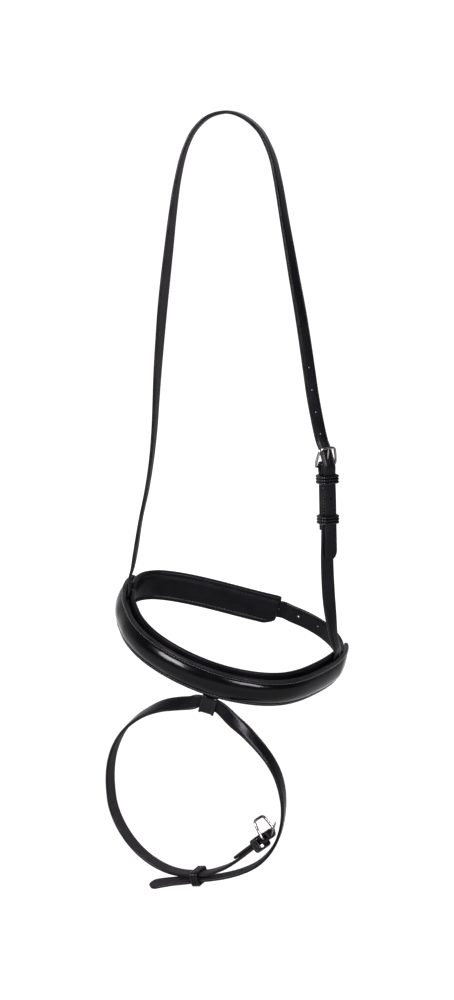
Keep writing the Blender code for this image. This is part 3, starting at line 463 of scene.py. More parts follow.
STRAP_FACE = leather("strap grain side", (0.0010, 0.0009, 0.0016, 1), (0.0027, 0.0024, 0.0038, 1), 0.29,
                     coat=0.12, coat_rough=0.20, index=1.20)
STRAP_EDGE = edge_paint("strap edge", (0.0022, 0.0019, 0.0022, 1), (0.0075, 0.0062, 0.0068, 1))
STRAP_BACK = flesh("strap flesh side", (0.0062, 0.0054, 0.0066, 1), (0.0170, 0.0148, 0.0172, 1))
NOSE_FACE = leather("nosepiece face", (0.0004, 0.0004, 0.0006, 1), (0.0010, 0.0009, 0.0013, 1), 0.19,
                    coat=0.75, coat_rough=0.16, grain=0.30, ripple=0.5, index=1.15)
SOFT_FACE = leather("soft lining leather", (0.0012, 0.0011, 0.0016, 1), (0.0030, 0.0027, 0.0037, 1), 0.40,
                    coat=0.05, coat_rough=0.35, grain=1.0, index=1.16)
CHIN_FACE = leather("chin pad leather", (0.0011, 0.0010, 0.0015, 1), (0.0034, 0.0031, 0.0042, 1), 0.42,
                    coat=0.08, coat_rough=0.35, grain=1.1, index=1.18)
KEEPER_FACE = leather("keeper leather", (0.0008, 0.0007, 0.0011, 1), (0.0020, 0.0018, 0.0025, 1), 0.20,
                      coat=0.80, coat_rough=0.12, grain=0.4, index=1.20)
THREAD = thread("waxed thread", (0.008, 0.008, 0.009, 1), (0.050, 0.048, 0.053, 1))
STEEL = steel("polished steel")
STRAP_LOOKS = [STRAP_FACE, STRAP_EDGE, STRAP_BACK]
SEALED_LOOKS = [STRAP_FACE, STRAP_EDGE, STRAP_FACE]


# ---- building pieces
def skin(rings, zones, closed=False):
    """Quads over equal loops of points, with the zone of each side; ends capped as edges."""
    count = len(rings[0])
    total = len(rings)
    faces = []
    marks = []
    for k in range(total if closed else total - 1):
        a = k * count
        b = (k + 1) % total * count
        for j in range(count):
            i = (j + 1) % count
            faces.append((a + j, a + i, b + i, b + j))
            marks.append(zones[j])
    if not closed:
        faces.append(tuple(reversed(range(count))))
        faces.append(tuple(range((total - 1) * count, total * count)))
        marks += [min(EDGE, max(zones))] * 2
    return [p for loop in rings for p in loop], faces, marks


def append_skin(verts, faces, rings):
    """Adds one more closed skin to a mesh's points and faces."""
    more, sheet, _ = skin(rings, [0] * len(rings[0]))
    base = len(verts)
    verts += more
    faces += [tuple(base + i for i in f) for f in sheet]


def add(name, verts, faces, zones, looks):
    mesh = bpy.data.meshes.new(name)
    mesh.from_pydata([(Vector(v) + CROWN_LIFT) * MM for v in verts], [], faces)
    for look in looks:
        mesh.materials.append(look)
    mesh.polygons.foreach_set("material_index", zones)
    shell = bmesh.new()
    shell.from_mesh(mesh)
    bmesh.ops.recalc_face_normals(shell, faces=shell.faces)
    shell.to_mesh(mesh)
    shell.free()
    made = bpy.data.objects.new(name, mesh)
    bpy.context.scene.collection.objects.link(made)
    return made


def smooth(piece, angle=38.0):
    mesh = piece.data
    mesh.polygons.foreach_set("use_smooth", [True] * len(mesh.polygons))
    mesh.set_sharp_from_angle(angle=math.radians(angle))
    return piece


def note_run(piece, track):
    """Writes each point's (along, across, out) place on a track, in metres, for the materials."""
    tree = KDTree(len(track.p))
    for k, p in enumerate(track.p):
        tree.insert((Vector(p) + CROWN_LIFT) * MM, k)
    tree.balance()
    w = np.cross(track.t, track.n)
    values = []
    for v in piece.data.vertices:
        near, k, _ = tree.find(v.co)
        off = np.array(v.co - near)
        ahead = float(track.s[k]) * MM + float(off @ track.t[k])
        values += [ahead, float(off @ w[k]), float(off @ track.n[k])]
    attribute = piece.data.attributes.new("run", "FLOAT_VECTOR", "POINT")
    attribute.data.foreach_set("vector", values)


def settle(piece):
    """Turns a piece's modifiers into its mesh."""
    graph = bpy.context.evaluated_depsgraph_get()
    done = bpy.data.meshes.new_from_object(piece.evaluated_get(graph))
    piece.modifiers.clear()
    piece.data = done


def cut(piece, cutter):
    """Takes the cutter out of the piece for good."""
    step = piece.modifiers.new("cut", "BOOLEAN")
    step.operation = "DIFFERENCE"
    step.solver = "EXACT"
    step.object = cutter
    settle(piece)
    bpy.data.objects.remove(cutter, do_unlink=True)


def rods(ends, sides=18):
    """Round cutters, each from one point to another with its radius, in one mesh."""
    verts = []
    faces = []
    for a, b, radius in ends:
        axis = (b - a).normalized()
        u = axis.orthogonal().normalized()
        v = axis.cross(u)
        loops = [[p + (u * math.cos(q) + v * math.sin(q)) * radius
                  for q in np.linspace(0, 2 * math.pi, sides, endpoint=False)] for p in (a, b)]
        append_skin(verts, faces, loops)
    return add("cutter", verts, faces, [0] * len(faces), [STRAP_EDGE])


def slot_box(track, bar, rise, half):
    """Cutter for the tongue's slot in the leather round a bar."""
    p, t, n, w = track.frame(bar)
    mid = Vector(p + n * rise)
    a, b, c = Vector(t * SLOT), Vector(w * half), Vector(n * 9.0)
    corners = [mid + a * i + b * j + c * k for k in (-1, 1) for i, j in ((-1, -1), (1, -1), (1, 1), (-1, 1))]
    sides = [(3, 2, 1, 0), (4, 5, 6, 7)] + [(k, (k + 1) % 4, (k + 1) % 4 + 4, k + 4) for k in range(4)]
    return add("cutter", corners, sides, [0] * 6, [STRAP_EDGE])


def hole_ends(track, marks, thick, radius=HOLE_R):
    return [(track.point(s, -thick), track.point(s, thick), radius) for s in marks]


def strap_section(width, thick, crease=1.7, depth=0.22, rounding=1.1, crown=0.22):
    """A strap's section: creased and slightly crowned grain side, round burnished edges, flat flesh side."""
    a = width / 2
    b = thick / 2
    r = min(rounding, b)
    c = a - crease
    points = []
    for u in (-(a - r), -(c + 0.42), -c, -(c - 0.42), -c * 0.62, -c * 0.3, 0.0,
              c * 0.3, c * 0.62, c - 0.42, c, c + 0.42, a - r):
        dip = depth if abs(abs(u) - c) < 0.01 else 0.0
        points.append((u, b - crown * (u / a) ** 2 - dip, GRAIN))
    top = b - crown * ((a - r) / a) ** 2
    for q in (60, 30, 0, -30, -60):
        c, s = math.cos(math.radians(q)), math.sin(math.radians(q))
        points.append((a - r + r * c, top * s if s > 0 else b * s, EDGE))
    for u in (a - r, (a - r) * 0.4, -(a - r) * 0.4, -(a - r)):
        points.append((u, -b, FLESH))
    for q in (-60, -30, 0, 30, 60):
        c, s = math.cos(math.radians(q)), math.sin(math.radians(q))
        points.append((-(a - r + r * c), top * s if s > 0 else b * s, EDGE))
    return points


def side_zones(section):
    """The zone that a side's two points share, or the edge's where they differ."""
    zones = []
    for j, here in enumerate(section):
        after = section[(j + 1) % len(section)]
        zones.append(here[2] if here[2] == after[2] else EDGE)
    return zones


def tip(end, length):
    """Width factor of a strap's rounded end."""
    def factor(s):
        f = min(1.0, max(0.0, 1.0 - (end - s) / length))
        return max(0.16, math.sqrt(max(0.0, 1.0 - f ** 2.4)))
    return factor


def loft(name, track, section, looks, step=2.4, wide=None, thin=None, extra=()):
    """A section carried along a track. wide and thin give its scale by length."""
    marks = track.marks(0.0, track.length, step)
    for s in extra:
        marks = [m for m in marks if abs(m - s) > 0.25 or m in (0.0, track.length)] + [s]
    rings = []
    for s in sorted(marks):
        kw = wide(s) if wide else 1.0
        kt = np.interp(s, *zip(*thin)) if thin else 1.0
        rings.append([track.point(s, p[1] * kt, p[0] * kw) for p in section])
    return add(name, *skin(rings, side_zones(section)), looks)


def go_with(piece, node):
    """The piece moves with a CAD node's body."""
    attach(piece, frame["nodes"][node]["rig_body"])
    return piece


def stand_for(piece, node):
    """The piece also shows in place of the CAD node."""
    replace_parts(go_with(piece, node), node)
    return piece


# ---- stitching
STITCH_SHAPE = ((-1.0, 0.25), (-0.86, 0.72), (-0.5, 1.0), (0.0, 1.06), (0.5, 1.0), (0.86, 0.72), (1.0, 0.25))


def stitch_row(name, node, track, marks, place, length=2.2, radius=0.34, lean=12.0, upside=1.0):
    """Raised stitches, each a small slanted grain of thread pulled into the leather at its two ends."""
    verts = []
    faces = []
    sides = 8
    for s in marks:
        h, across = place(s)
        p, t, out, w = track.frame(s)
        n = out * upside
        q = math.radians(lean + random.uniform(-3, 3))
        ahead = t * math.cos(q) + w * math.sin(q)
        beside = np.cross(n, ahead)
        mid = p + out * h + w * across
        rings = []
        for f, r in STITCH_SHAPE:
            centre = mid + ahead * (f * length / 2) + n * (0.16 * (1.0 - f * f) - 0.06)
            rings.append([Vector(centre + (beside * math.cos(a) + n * 0.8 * math.sin(a)) * radius * r)
                          for a in np.linspace(0, 2 * math.pi, sides, endpoint=False)])
        append_skin(verts, faces, rings)
    row = smooth(add(name, verts, faces, [0] * len(faces), [THREAD]), 80.0)
    return go_with(row, node)


# ---- nosepiece
BORDER = 3.4
ROLL_RISE = 3.6


def nose_section():
    """(across, out) over the face, upper edge to lower: border, crease, roll, crease, border."""
    low = -NOSE_HIGH
    high = -NOSE_LOW
    mid = (low + high) / 2
    half = (high - low) / 2 - BORDER
    border = [(low, -0.75), (low + 0.12, -0.38), (low + 0.42, -0.1), (low + 0.9, 0.0), (low + 1.7, 0.02),
              (low + 2.5, 0.0), (low + 3.0, -0.08), (low + 3.3, -0.22)]
    roll = []
    for q in np.linspace(-1.0, 1.0, 23):
        roll.append((mid + half * q, ROLL_RISE * max(0.0, 1.0 - abs(q) ** 2.2) ** 0.86))
    return border + roll + [(2 * mid - a, b) for a, b in reversed(border)]


def nose_scale(s):
    """Rise of the roll, width and thickness of the nosepiece at a length."""
    end = min(s, NOSE.length - s)
    return (np.interp(end, (4, 46), (0.0, 1.0)), np.interp(end, (0, 1, 3, 34), (0.62, 0.70, 0.78, 1.0)),
            np.interp(end, (24, 38), (NOSE_END_T, NOSE_T)))


def nose_place(s, a, b):
    """A point of the section at a length, with the small unevenness of stuffed leather."""
    mid = (-NOSE_HIGH - NOSE_LOW) / 2
    rise, wide, _ = nose_scale(s)
    if b > 0.3:
        wobble = noise.noise(Vector((s * 0.055, a * 0.10, 3.0))) * 0.16
        wobble += noise.noise(Vector((s * 0.17, a * 0.16, 9.0))) * 0.07
        b = (b + wobble * min(1.0, b / 2.0)) * rise
    return mid * rise + (a - mid) * wide, b


def build_nosepiece():
    top = nose_section()
    zones = [EDGE] * 2 + [GRAIN] * (len(top) - 5) + [EDGE] * 3 + [FLESH] + [EDGE] * 3
    rings = []
    ends = [0.0, 0.8, 2.0, 4.0, 7.0]
    marks = ends + [NOSE.length - m for m in ends] + np.linspace(9.5, NOSE.length - 9.5, 190).tolist()
    for s in sorted(marks):
        deep = nose_scale(s)[2]
        high = -NOSE_LOW
        low = -NOSE_HIGH
        back = [(high, 0.7 - deep), (high - 0.7, -deep), (low + 0.7, -deep), (low, 0.7 - deep)]
        loop = []
        for a, b in top + back:
            across, out = nose_place(s, a, b)
            loop.append(NOSE.point(s, out, across))
        rings.append(loop)
    piece = add("nosepiece_leather", *skin(rings, zones), [NOSE_FACE, STRAP_EDGE, STRAP_BACK])
    note_run(piece, NOSE)
    stand_for(smooth(piece, 40.0), "noseband_strap")
    marks = np.arange(6.0, NOSE.length - 6.0, 3.0).tolist()
    for name, a in (("upper", -NOSE_HIGH + 2.2), ("lower", -NOSE_LOW - 2.2)):
        def place(s, a=a):
            across, out = nose_place(s, a, 0.0)
            return out + 0.05, across
        stitch_row("nosepiece_stitching_" + name, "noseband_strap", NOSE, marks, place, 2.2, 0.32, 8.0)


def build_backing():
    """The middle layer and the loop's tail keep their CAD shape and get their leather."""
    for node in ("noseband_backing", "flash_loop_tail"):
        mesh = frame["nodes"][node].data
        mesh.materials.clear()
        mesh.materials.append(STRAP_EDGE if node == "noseband_backing" else STRAP_FACE)


# ---- padding
def plump(piece, held, cap):
    """Swells a closed skin like stuffed leather: held points stay, the rest move out by cap mm at most."""
    mesh = piece.data
    rest = np.array([v.co for v in mesh.vertices])
    mesh.vertices.foreach_set("co", (rest * SIM_SCALE).ravel())
    group = piece.vertex_groups.new(name="held")
    group.add(held, 1.0, "REPLACE")
    cloth = piece.modifiers.new("swell", "CLOTH")
    cloth.settings.effector_weights.gravity = 0.0
    for key, value in (("use_pressure", True), ("uniform_pressure_force", SIM_PRESSURE),
                       ("vertex_group_mass", "held"), ("mass", 0.3), ("tension_stiffness", 12.0),
                       ("compression_stiffness", 12.0), ("shear_stiffness", 5.0), ("bending_stiffness", 0.6)):
        setattr(cloth.settings, key, value)
    cloth.collision_settings.use_collision = False
    cloth.point_cache.frame_end = SIM_FRAMES
    scene = bpy.context.scene
    for k in range(1, SIM_FRAMES + 1):
        scene.frame_set(k)
    shaped = piece.evaluated_get(bpy.context.evaluated_depsgraph_get()).to_mesh()
    made = np.array([v.co for v in shaped.vertices]) / SIM_SCALE
    piece.modifiers.clear()
    piece.vertex_groups.clear()
    scene.frame_set(1)
    step = made - rest
    size = np.linalg.norm(step, axis=1)
    most = cap * MM
    factor = most * np.tanh(size / most) / np.maximum(size, 1e-12)
    mesh.vertices.foreach_set("co", (rest + step * factor[:, None]).astype(np.float32).ravel())
    mesh.update()


def pad_half(groove, count=7):
    """Half a padded section, (across -1 to 0, depth 0 to 1, held): rounded edge, roll, groove, field."""
    edge = [(-0.90, 0.0, True), (-0.965, 0.12, False), (-1.0, 0.34, False), (-0.992, 0.60, False),
            (-0.955, 0.80, False), (-0.90, 0.90, False)]
    mid = (-0.90 + groove) / 2
    edge += [(mid, 0.92, False), (groove - 0.035, 0.84, False), (groove, 0.70, True),
             (groove + 0.035, 0.80, False)]
    field = []
    for k in range(1, count + 1):
        u = groove + 0.035 - (groove + 0.035) * k / count
        field.append((u, 0.86 + 0.06 * math.sin(math.pi * k / count / 2), False))
    return edge + field


def pad_section(groove):
    half = pad_half(groove)
    return half + [(-u, v, held) for u, v, held in reversed(half[:-1])]


def padding(name, track, s0, s1, step, section, low, high, thick, ends, at, look, swell):
    """A padded skin: section scaled between low and high, taken along a track, then swollen."""
    back = [(0.45, 0.0, True), (0.0, 0.0, True), (-0.45, 0.0, True)]
    loop = section + back
    mid = (low + high) / 2
    half = (high - low) / 2
    near = [0.0, 0.3, 0.8, 1.6, 2.8, 4.4, 6.4, 8.8]
    marks = [s0 + m for m in near] + [s1 - m for m in near] + np.arange(s0 + 11, s1 - 10.5, step).tolist()
    rings = []
    held = []
    for k, s in enumerate(sorted(marks)):
        ring_now = []
        for j, (u, v, fixed) in enumerate(loop):
            wide, deep = ends(s, u)
            ring_now.append(track.point(s, at - thick * v * deep, mid + half * u * wide))
            if fixed or min(s - s0, s1 - s) < 0.2:
                held.append(k * len(loop) + j)
        rings.append(ring_now)
    verts, faces, _ = skin(rings, [0] * len(loop))
    piece = add(name, verts, faces, [0] * len(faces), [look])
    plump(piece, held, swell)
    level = piece.modifiers.new("round", "SUBSURF")
    level.levels = 1
    level.render_levels = 1
    settle(piece)
    note_run(piece, track)
    smooth(piece, 60.0)
    return piece


def build_padding():
    s0 = LEFT_S - 8.5
    s1 = RIGHT_S + 8.5

    def nose_ends(s, u):
        end = min(s - s0, s1 - s)
        wide = np.interp(end, (0, 0.8, 2.5, 6, 12), (0.66, 0.80, 0.91, 0.98, 1.0))
        deep = np.interp(end, (0, 0.3, 0.8, 2.5, 6), (0.30, 0.5, 0.7, 0.9, 1.0))
        return wide, deep

    lining = padding("noseband_lining", NOSE, s0, s1, 2.6, pad_section(-0.66), -PAD_HIGH + 0.5,
                     -PAD_LOW - 0.5, PAD_T - 0.5, nose_ends, LINING_AT, SOFT_FACE, 0.7)
    stand_for(lining, "noseband_padding")

    half = CHIN_PAD_W / 2
    c0 = 3.0
    c1 = CHIN.length

    def chin_ends(s, u):
        end = c1 - s
        low = np.interp(end, (0, 0.5, 1.6, 5, 11), (0.60, 0.65, 0.71, 0.84, 1.0))
        high = np.interp(end, (0, 0.5, 1.6, 5), (0.88, 0.93, 0.975, 1.0))
        deep = np.interp(end, (0, 0.5, 1.6, 5), (0.45, 0.78, 0.95, 1.0))
        head = np.interp(s - c0, (0, 1.2, 4, 10), (0.5, 0.8, 0.95, 1.0))
        return (high if u > 0 else low), min(deep, head)

    pad = padding("chin_pad_leather", CHIN, c0, c1, 2.2, pad_section(-0.70), -half - 0.3, half - 0.9,
                  CHIN_PAD_T - 0.7, chin_ends, -0.02, CHIN_FACE, 0.8)
    stand_for(pad, "chin_pad")
    marks = np.arange(14.0, CHIN.length - 8.0, 3.2).tolist()
    mid = -0.6
    for name, u in (("upper", 0.70), ("lower", -0.70)):
        def place(s, u=u):
            return -(CHIN_PAD_T - 0.7) * 0.70 - 0.05, mid + half * u * 0.98
        stitch_row("chin_pad_stitching_" + name, "chin_pad", CHIN, marks, place, 2.2, 0.30, 6.0, -1.0)


# ---- keepers
def build_keeper(node, track, s, length, low, high, half, thick=1.9, ridges=3, shift=0.0):
    """A closed loop of leather with pressed ridges, its corners rounded."""
    p, t, n, w = track.frame(s)
    mid = p + n * (low + high) / 2 + w * shift
    ry = (high - low) / 2

    def outline(at, grow):
        r = 0.8 + max(0.0, grow) * 1.35
        loop = []
        for sx, sy, a0 in ((1, 1, 0), (-1, 1, 90), (-1, -1, 180), (1, -1, 270)):
            for a in (0, 15, 30, 45, 60, 75, 90):
                q = math.radians(a0 + a)
                u = sx * (half + grow - r) + r * math.cos(q)
                v = sy * (ry + grow - r) + r * math.sin(q)
                loop.append(Vector(mid + t * at + w * u + n * v))
        return loop

    a = length / 2
    shape = [(-a + 0.15, 0.0), (-a, 0.15), (-a, thick * 0.40), (-a + 0.12, thick * 0.62)]
    for k in range(ridges):
        start = -a + length * k / ridges
        for f in (0.12, 0.26, 0.42, 0.58, 0.74, 0.88):
            lift = math.sin(math.pi * f) ** 0.7
            shape.append((start + length / ridges * f, thick * (0.50 + 0.58 * lift)))
        if k < ridges - 1:
            shape.append((start + length / ridges, thick * 0.42))
    shape += [(a - 0.12, thick * 0.62), (a, thick * 0.40), (a, 0.15), (a - 0.15, 0.0)]
    rings = [outline(at, grow) for at, grow in shape]
    verts, faces, _ = skin(rings, [0] * len(rings[0]), closed=True)
    piece = add(node + "_leather", verts, faces, [0] * len(faces), [KEEPER_FACE])
    note_run(piece, track)
    stand_for(smooth(piece, 60.0), node)


# ---- steel
def wire(name, node, path, radii, closed, side, sides=18):
    """Round wire through points; side is square to the plane that it is bent in."""
    path = [np.array(p, float) for p in path]
    side = np.array(side, float)
    total = len(path)
    rings = []
    for k, p in enumerate(path):
        before = path[k - 1] if closed or k else path[k]
        after = path[(k + 1) % total] if closed or k < total - 1 else path[k]
        t = (after - before) / np.linalg.norm(after - before)
        out = np.cross(side, t)
        out = out / np.linalg.norm(out)
        across = np.cross(t, out)
        rings.append([Vector(p + (out * math.cos(a) + across * math.sin(a)) * radii[k])
                      for a in np.linspace(0, 2 * math.pi, sides, endpoint=False)])
    verts, faces, _ = skin(rings, [0] * sides, closed)
    piece = smooth(add(name, verts, faces, [0] * len(faces), [STEEL]), 50.0)
    return stand_for(piece, node)


def build_buckle(node, track, bar, way, rise, angle, wide, top, reach):
    """Frame of one bent wire: thin straight bar, sides leaning in, thicker round shoulders."""
    home, t, n, w = track.frame(bar)
    home = home + n * rise
    q = math.radians(angle)
    ahead = t * way * math.cos(q) + n * math.sin(q)
    a = wide / 2
    b = top / 2
    r = min(4.2, b - 1.0)
    half = [(0.0, f * (a - 1.3), 1.10) for f in (0.0, 0.25, 0.5, 0.75, 1.0)]
    for f in (20, 40, 60, 80):
        c = math.radians(f)
        half.append((1.3 - 1.3 * math.cos(c), a - 1.3 + 1.3 * math.sin(c) - 0.1, 1.16))
    for f in (0.2, 0.4, 0.6, 0.8):
        u = 1.3 + (reach - r - 1.3) * f
        v = a + (b - a) * f ** 1.3
        half.append((u, v + 0.35 * math.sin(math.pi * f), 1.22))
    for f in np.linspace(8, 90, 11):
        c = math.radians(f)
        half.append((reach - r + r * math.sin(c), b - r + r * math.cos(c), 1.30))
    half += [(reach, f * (b - r), 1.34) for f in (0.66, 0.33)]
    outline = half + [(reach, 0.0, 1.34)] + [(u, -v, g) for u, v, g in reversed(half[1:])]
    path = [home + ahead * u + w * v for u, v, _ in outline]
    wire(node + "_steel", node, path, [g for _, _, g in outline], True, np.cross(ahead, w))


def tongue_line(track, bar, way, rise, tip_at, wrap=200.0):
    """Centre line of a tongue: hooked round the bar, then straight to its tip at (ahead, out)."""
    home, t, n, w = track.frame(bar)
    home = home + n * rise
    ahead = t * way
    hook = WIRE_R + GAP + TONGUE_R
    aim = math.atan2(tip_at[1], tip_at[0])
    leave = aim + math.acos(hook / math.hypot(*tip_at))
    points = [(hook * math.cos(q), hook * math.sin(q))
              for q in np.linspace(leave + math.radians(wrap), leave, 22)]
    start = points[-1]
    for f in np.linspace(0.1, 1.0, TONGUE_STEPS):
        points.append((start[0] + (tip_at[0] - start[0]) * f, start[1] + (tip_at[1] - start[1]) * f))
    return [home + ahead * u + n * v for u, v in points], w


def build_tongue(node, track, bar, way, rise, tip_at):
    path, w = tongue_line(track, bar, way, rise, tip_at)
    radii = [TONGUE_R] * (len(path) - 4) + [0.94, 0.84, 0.68, 0.42]
    wire(node + "_steel", node, path, radii, False, w)
    return path


# ---- straps
def prick_at(track, path):
    """Length along a strap where a tongue goes through it."""
    goes = Vector(path[-6])
    return float(track.s[min(range(len(track.s)), key=lambda k: (Vector(track.p[k]) - goes).length)])


def prick(path, radius):
    """Cutter along a tongue's straight part, run on past its tip."""
    start = Vector(path[-TONGUE_STEPS])
    end = Vector(path[-1])
    return start, end + (end - start) * 0.4, radius


def bend_at_hanger(piece, strap, foot):
    """The strap runs on into the nosepiece in one piece; it stays where it is built and hides the strap's and
    the foot's CAD nodes.
    """
    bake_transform(piece)
    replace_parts(piece, strap, foot)


def build_headpiece(path):
    rows = list(reversed(foot_rows(LEFT_S, 1.0, HANGER_HEIGHTS + SEWN_HEIGHTS)))
    rows += [turned(*row) for row in LEFT_BRANCH + RIGHT_BRANCH]
    rows += side_rows(CHEEK, [(CHEEK_BAR + s, h, across) for s, h, across in CHEEK_BILLET])
    track = Track(rows, 1.0)
    thin = [(0.0, HANGER_THIN), (21.0, HANGER_THIN), (32.0, 1.0)]
    extra = (track.length - np.linspace(0.4, 10.0, 9)).tolist()
    piece = loft("headpiece_leather", track, strap_section(STRAP_W, STRAP_T), STRAP_LOOKS, 2.4,
                 tip(track.length, 10.0), thin, extra)
    here = prick_at(track, path)
    ends = hole_ends(track, [here + HOLE_PITCH * k for k in (-4, -3, -2, -1, 1, 2, 3)], STRAP_T)
    cut(piece, rods(ends + [prick(path, 1.9)]))
    note_run(piece, track)
    bend_at_hanger(smooth(piece), "headpiece_strap", "headpiece_foot")


def build_cheek():
    low = [(s, 0.0) for s in np.linspace(CHEEK.length + 14.2, CHEEK_BAR + 104, 13)]
    low += [(CHEEK_BAR + 90, 0.4), (CHEEK_BAR + 76, 1.3), (CHEEK_BAR + 60, 1.65), (CHEEK_BAR + 44, 1.65),
            (CHEEK_BAR + 26, 1.65)]
    track = Track(side_rows(CHEEK, turn_points(CHEEK_BAR, -1, low, 0.0, STRAP_T, 63.0, CHEEK_SLACK)), 1.0)
    thin = [(0.0, HANGER_THIN), (22.0, HANGER_THIN), (34.0, 1.0)]
    piece = loft("cheek_strap_leather", track, strap_section(STRAP_W, STRAP_T), SEALED_LOOKS, 2.4, thin=thin)
    cut(piece, slot_box(CHEEK, CHEEK_BAR, 0.0, 1.7))
    note_run(piece, track)
    bend_at_hanger(smooth(piece), "cheek_strap", "cheek_foot")
    marks = np.arange(CHEEK_BAR + 18.5, CHEEK_BAR + 46.0, 3.0).tolist()
    for name, across in (("left", -4.9), ("right", 4.9)):
        for side, h in (("front", 3.15), ("back", -3.02)):
            stitch_row(f"cheek_stitching_{side}_{name}", "cheek_strap", CHEEK, marks,
                       lambda s, h=h, across=across: (h, across), 2.1, 0.3, 10.0, math.copysign(1.0, h))


def build_chin():
    under = GAP + BILLET_T / 2
    level = CHIN_RISE + CHIN_SLACK
    rest = [(s, under) for s in np.linspace(7.5, CHIN_BAR - 84, 9)]
    rest += [(CHIN_BAR - 74, under + 0.8), (CHIN_BAR - 64, level - 1.4), (CHIN_BAR - 54, level - 0.1),
             (CHIN_BAR - 44, level), (CHIN_BAR - 34, level), (CHIN_BAR - 24, level)]
    rest = turn_points(CHIN_BAR, 1, rest, CHIN_RISE, BILLET_T, 36.0, CHIN_SLACK)
    track = Track(side_rows(STACK, rest), 1.0)
    piece = loft("chin_strap_leather", track, strap_section(BILLET_W, BILLET_T, 2.0), STRAP_LOOKS, 2.6)
    cut(piece, slot_box(STACK, CHIN_BAR, CHIN_RISE, 1.9))
    note_run(piece, track)
    stand_for(smooth(piece), "chin_buckle_strap")


def billet_rows():
    """Right billet beyond the pad's end, then back over the buckle in the chin pad's side view."""
    end = STACK.length
    over = CHIN_RISE + WIRE_R + GAP + BILLET_T / 2 + BILLET_T + GAP
    lap = CHIN_RISE + CHIN_SLACK + BILLET_T + GAP + 0.1
    plan = [(109.0, 4, 0), (108.9, 13, 0), (106.6, 25, 0), (101.6, 36, 0), (94, 46, 0), (83.5, 55.2, 0),
            (68, 63.8, -0.4), (52, 69.2, -1.1)]
    rows = [ring_row(x, y, z, -1.0) for x, y, z in plan]
    side = [(end + 6, 3.6), (end - 3, 3.6), (CHIN_BAR + 17.6, CHIN_RISE - 1.4),
            (CHIN_BAR + 11, CHIN_RISE + 1.6),
            (CHIN_BAR + 5, over - 1.2), (CHIN_BAR, over), (CHIN_BAR - 6, over - 0.4), (CHIN_BAR - 14, lap),
            (CHIN_BAR - 22, lap), (CHIN_BAR - 30, lap), (CHIN_BAR - 38, lap), (CHIN_BAR - 46, lap),
            (CHIN_BAR - 56, lap), (CHIN_BAR - 66, lap - 0.8), (CHIN_BAR - 76, lap - 1.6)]
    rows += [row[:3] + tuple(-c for c in row[3:]) for row in side_rows(STACK, side)]
    return rows


def build_billet(path):
    track = Track(billet_rows(), 1.0)
    extra = (track.length - np.linspace(0.4, 11.0, 9)).tolist()
    piece = loft("billet_leather", track, strap_section(BILLET_W, BILLET_T, 2.0), SEALED_LOOKS, 2.6,
                 tip(track.length, 11.0), extra=extra)
    here = prick_at(track, path)
    ends = hole_ends(track, [here + CHIN_HOLE_PITCH * k for k in (-3, -2, -1, 1, 2)], BILLET_T, 1.4)
    cut(piece, rods(ends + [prick(path, 2.1)]))
    note_run(piece, track)
    stand_for(smooth(piece), "noseband_billet")


def build_flash():
    side = [(s, 0.0) for s in np.arange(0.0, FLASH_BAR - 24, 6.0)]
    side = turn_points(FLASH_BAR, 1, side, FLASH_RISE, STRAP_T, 46.0, CHEEK_SLACK)
    track = Track(side_rows(FLASH, side), 1.0)
    extra = np.linspace(0.4, 10.0, 9).tolist()
    end = tip(10.0, 10.0)
    piece = loft("flash_strap_leather", track, strap_section(STRAP_W, STRAP_T), STRAP_LOOKS, 2.4,
                 lambda s: end(10.0 - s), extra=extra)
    cut(piece, rods(hole_ends(track, [34.0 + HOLE_PITCH * k for k in range(6)], STRAP_T, 1.4)))
    cut(piece, slot_box(FLASH, FLASH_BAR, FLASH_RISE, 1.7))
    note_run(piece, track)
    stand_for(smooth(piece), "flash_strap")


def bead_section(width, thick, bead=2.6, rise=0.75):
    """The tab's section, face down: a round bead along each side, sunk between them, flat behind."""
    a = width / 2
    b = thick / 2
    left = [(-a + bead / 2 + bead / 2 * math.cos(q), b - 0.15 + rise * math.sin(q), GRAIN)
            for q in map(math.radians, np.linspace(170, 10, 9))]
    field = [(u * (a - bead - 0.5), b - 0.25, GRAIN) for u in (-1.0, -0.5, 0.0, 0.5, 1.0)]
    right = [(-u, v, zone) for u, v, zone in reversed(left)]
    edge = [(a, b - 0.5, EDGE), (a, -b + 0.4, EDGE)]
    back = [(a - 0.4, -b, FLESH), (0.0, -b, FLESH), (-a + 0.4, -b, FLESH)]
    loop = left + field + right + edge + back + [(-u, v, zone) for u, v, zone in reversed(edge)]
    return [(u, -v, zone) for u, v, zone in loop]


def build_loop():
    """Tab round the flash strap, with a raised bead along each side."""
    low = STRAP_Z - STRAP_W / 2 - 0.9
    y0 = LOOP_Y
    r = STRAP_T / 2 + GAP + LOOP_T / 2
    points = [(y0, LOOP_TOP - 0.8), (y0 - r * 0.5, -17.7), (y0 - r, -19.9), (y0 - r, low + 2)]
    for a in (0, 30, 60, 90, 120, 150, 180):
        q = math.radians(a)
        points.append((y0 - r * math.cos(q), low - r * 0.75 * math.sin(q)))
    points += [(y0 + r, low + 3), (y0 + r, -24.0), (y0 + r, -19.9)]
    rows = [tuple(ring(0.0, y, z)) + tuple(RING @ Vector((1.0, 0.0, 0.0))) for y, z in points]
    track = Track(rows, 0.6)
    thin = [(0.0, 0.34), (2.2, 1.0), (track.length, 1.0)]
    piece = loft("flash_loop_leather", track, bead_section(15.0, LOOP_T),
                 [KEEPER_FACE, STRAP_EDGE, STRAP_BACK], 0.9, thin=thin)
    note_run(piece, track)
    stand_for(smooth(piece), "flash_loop")


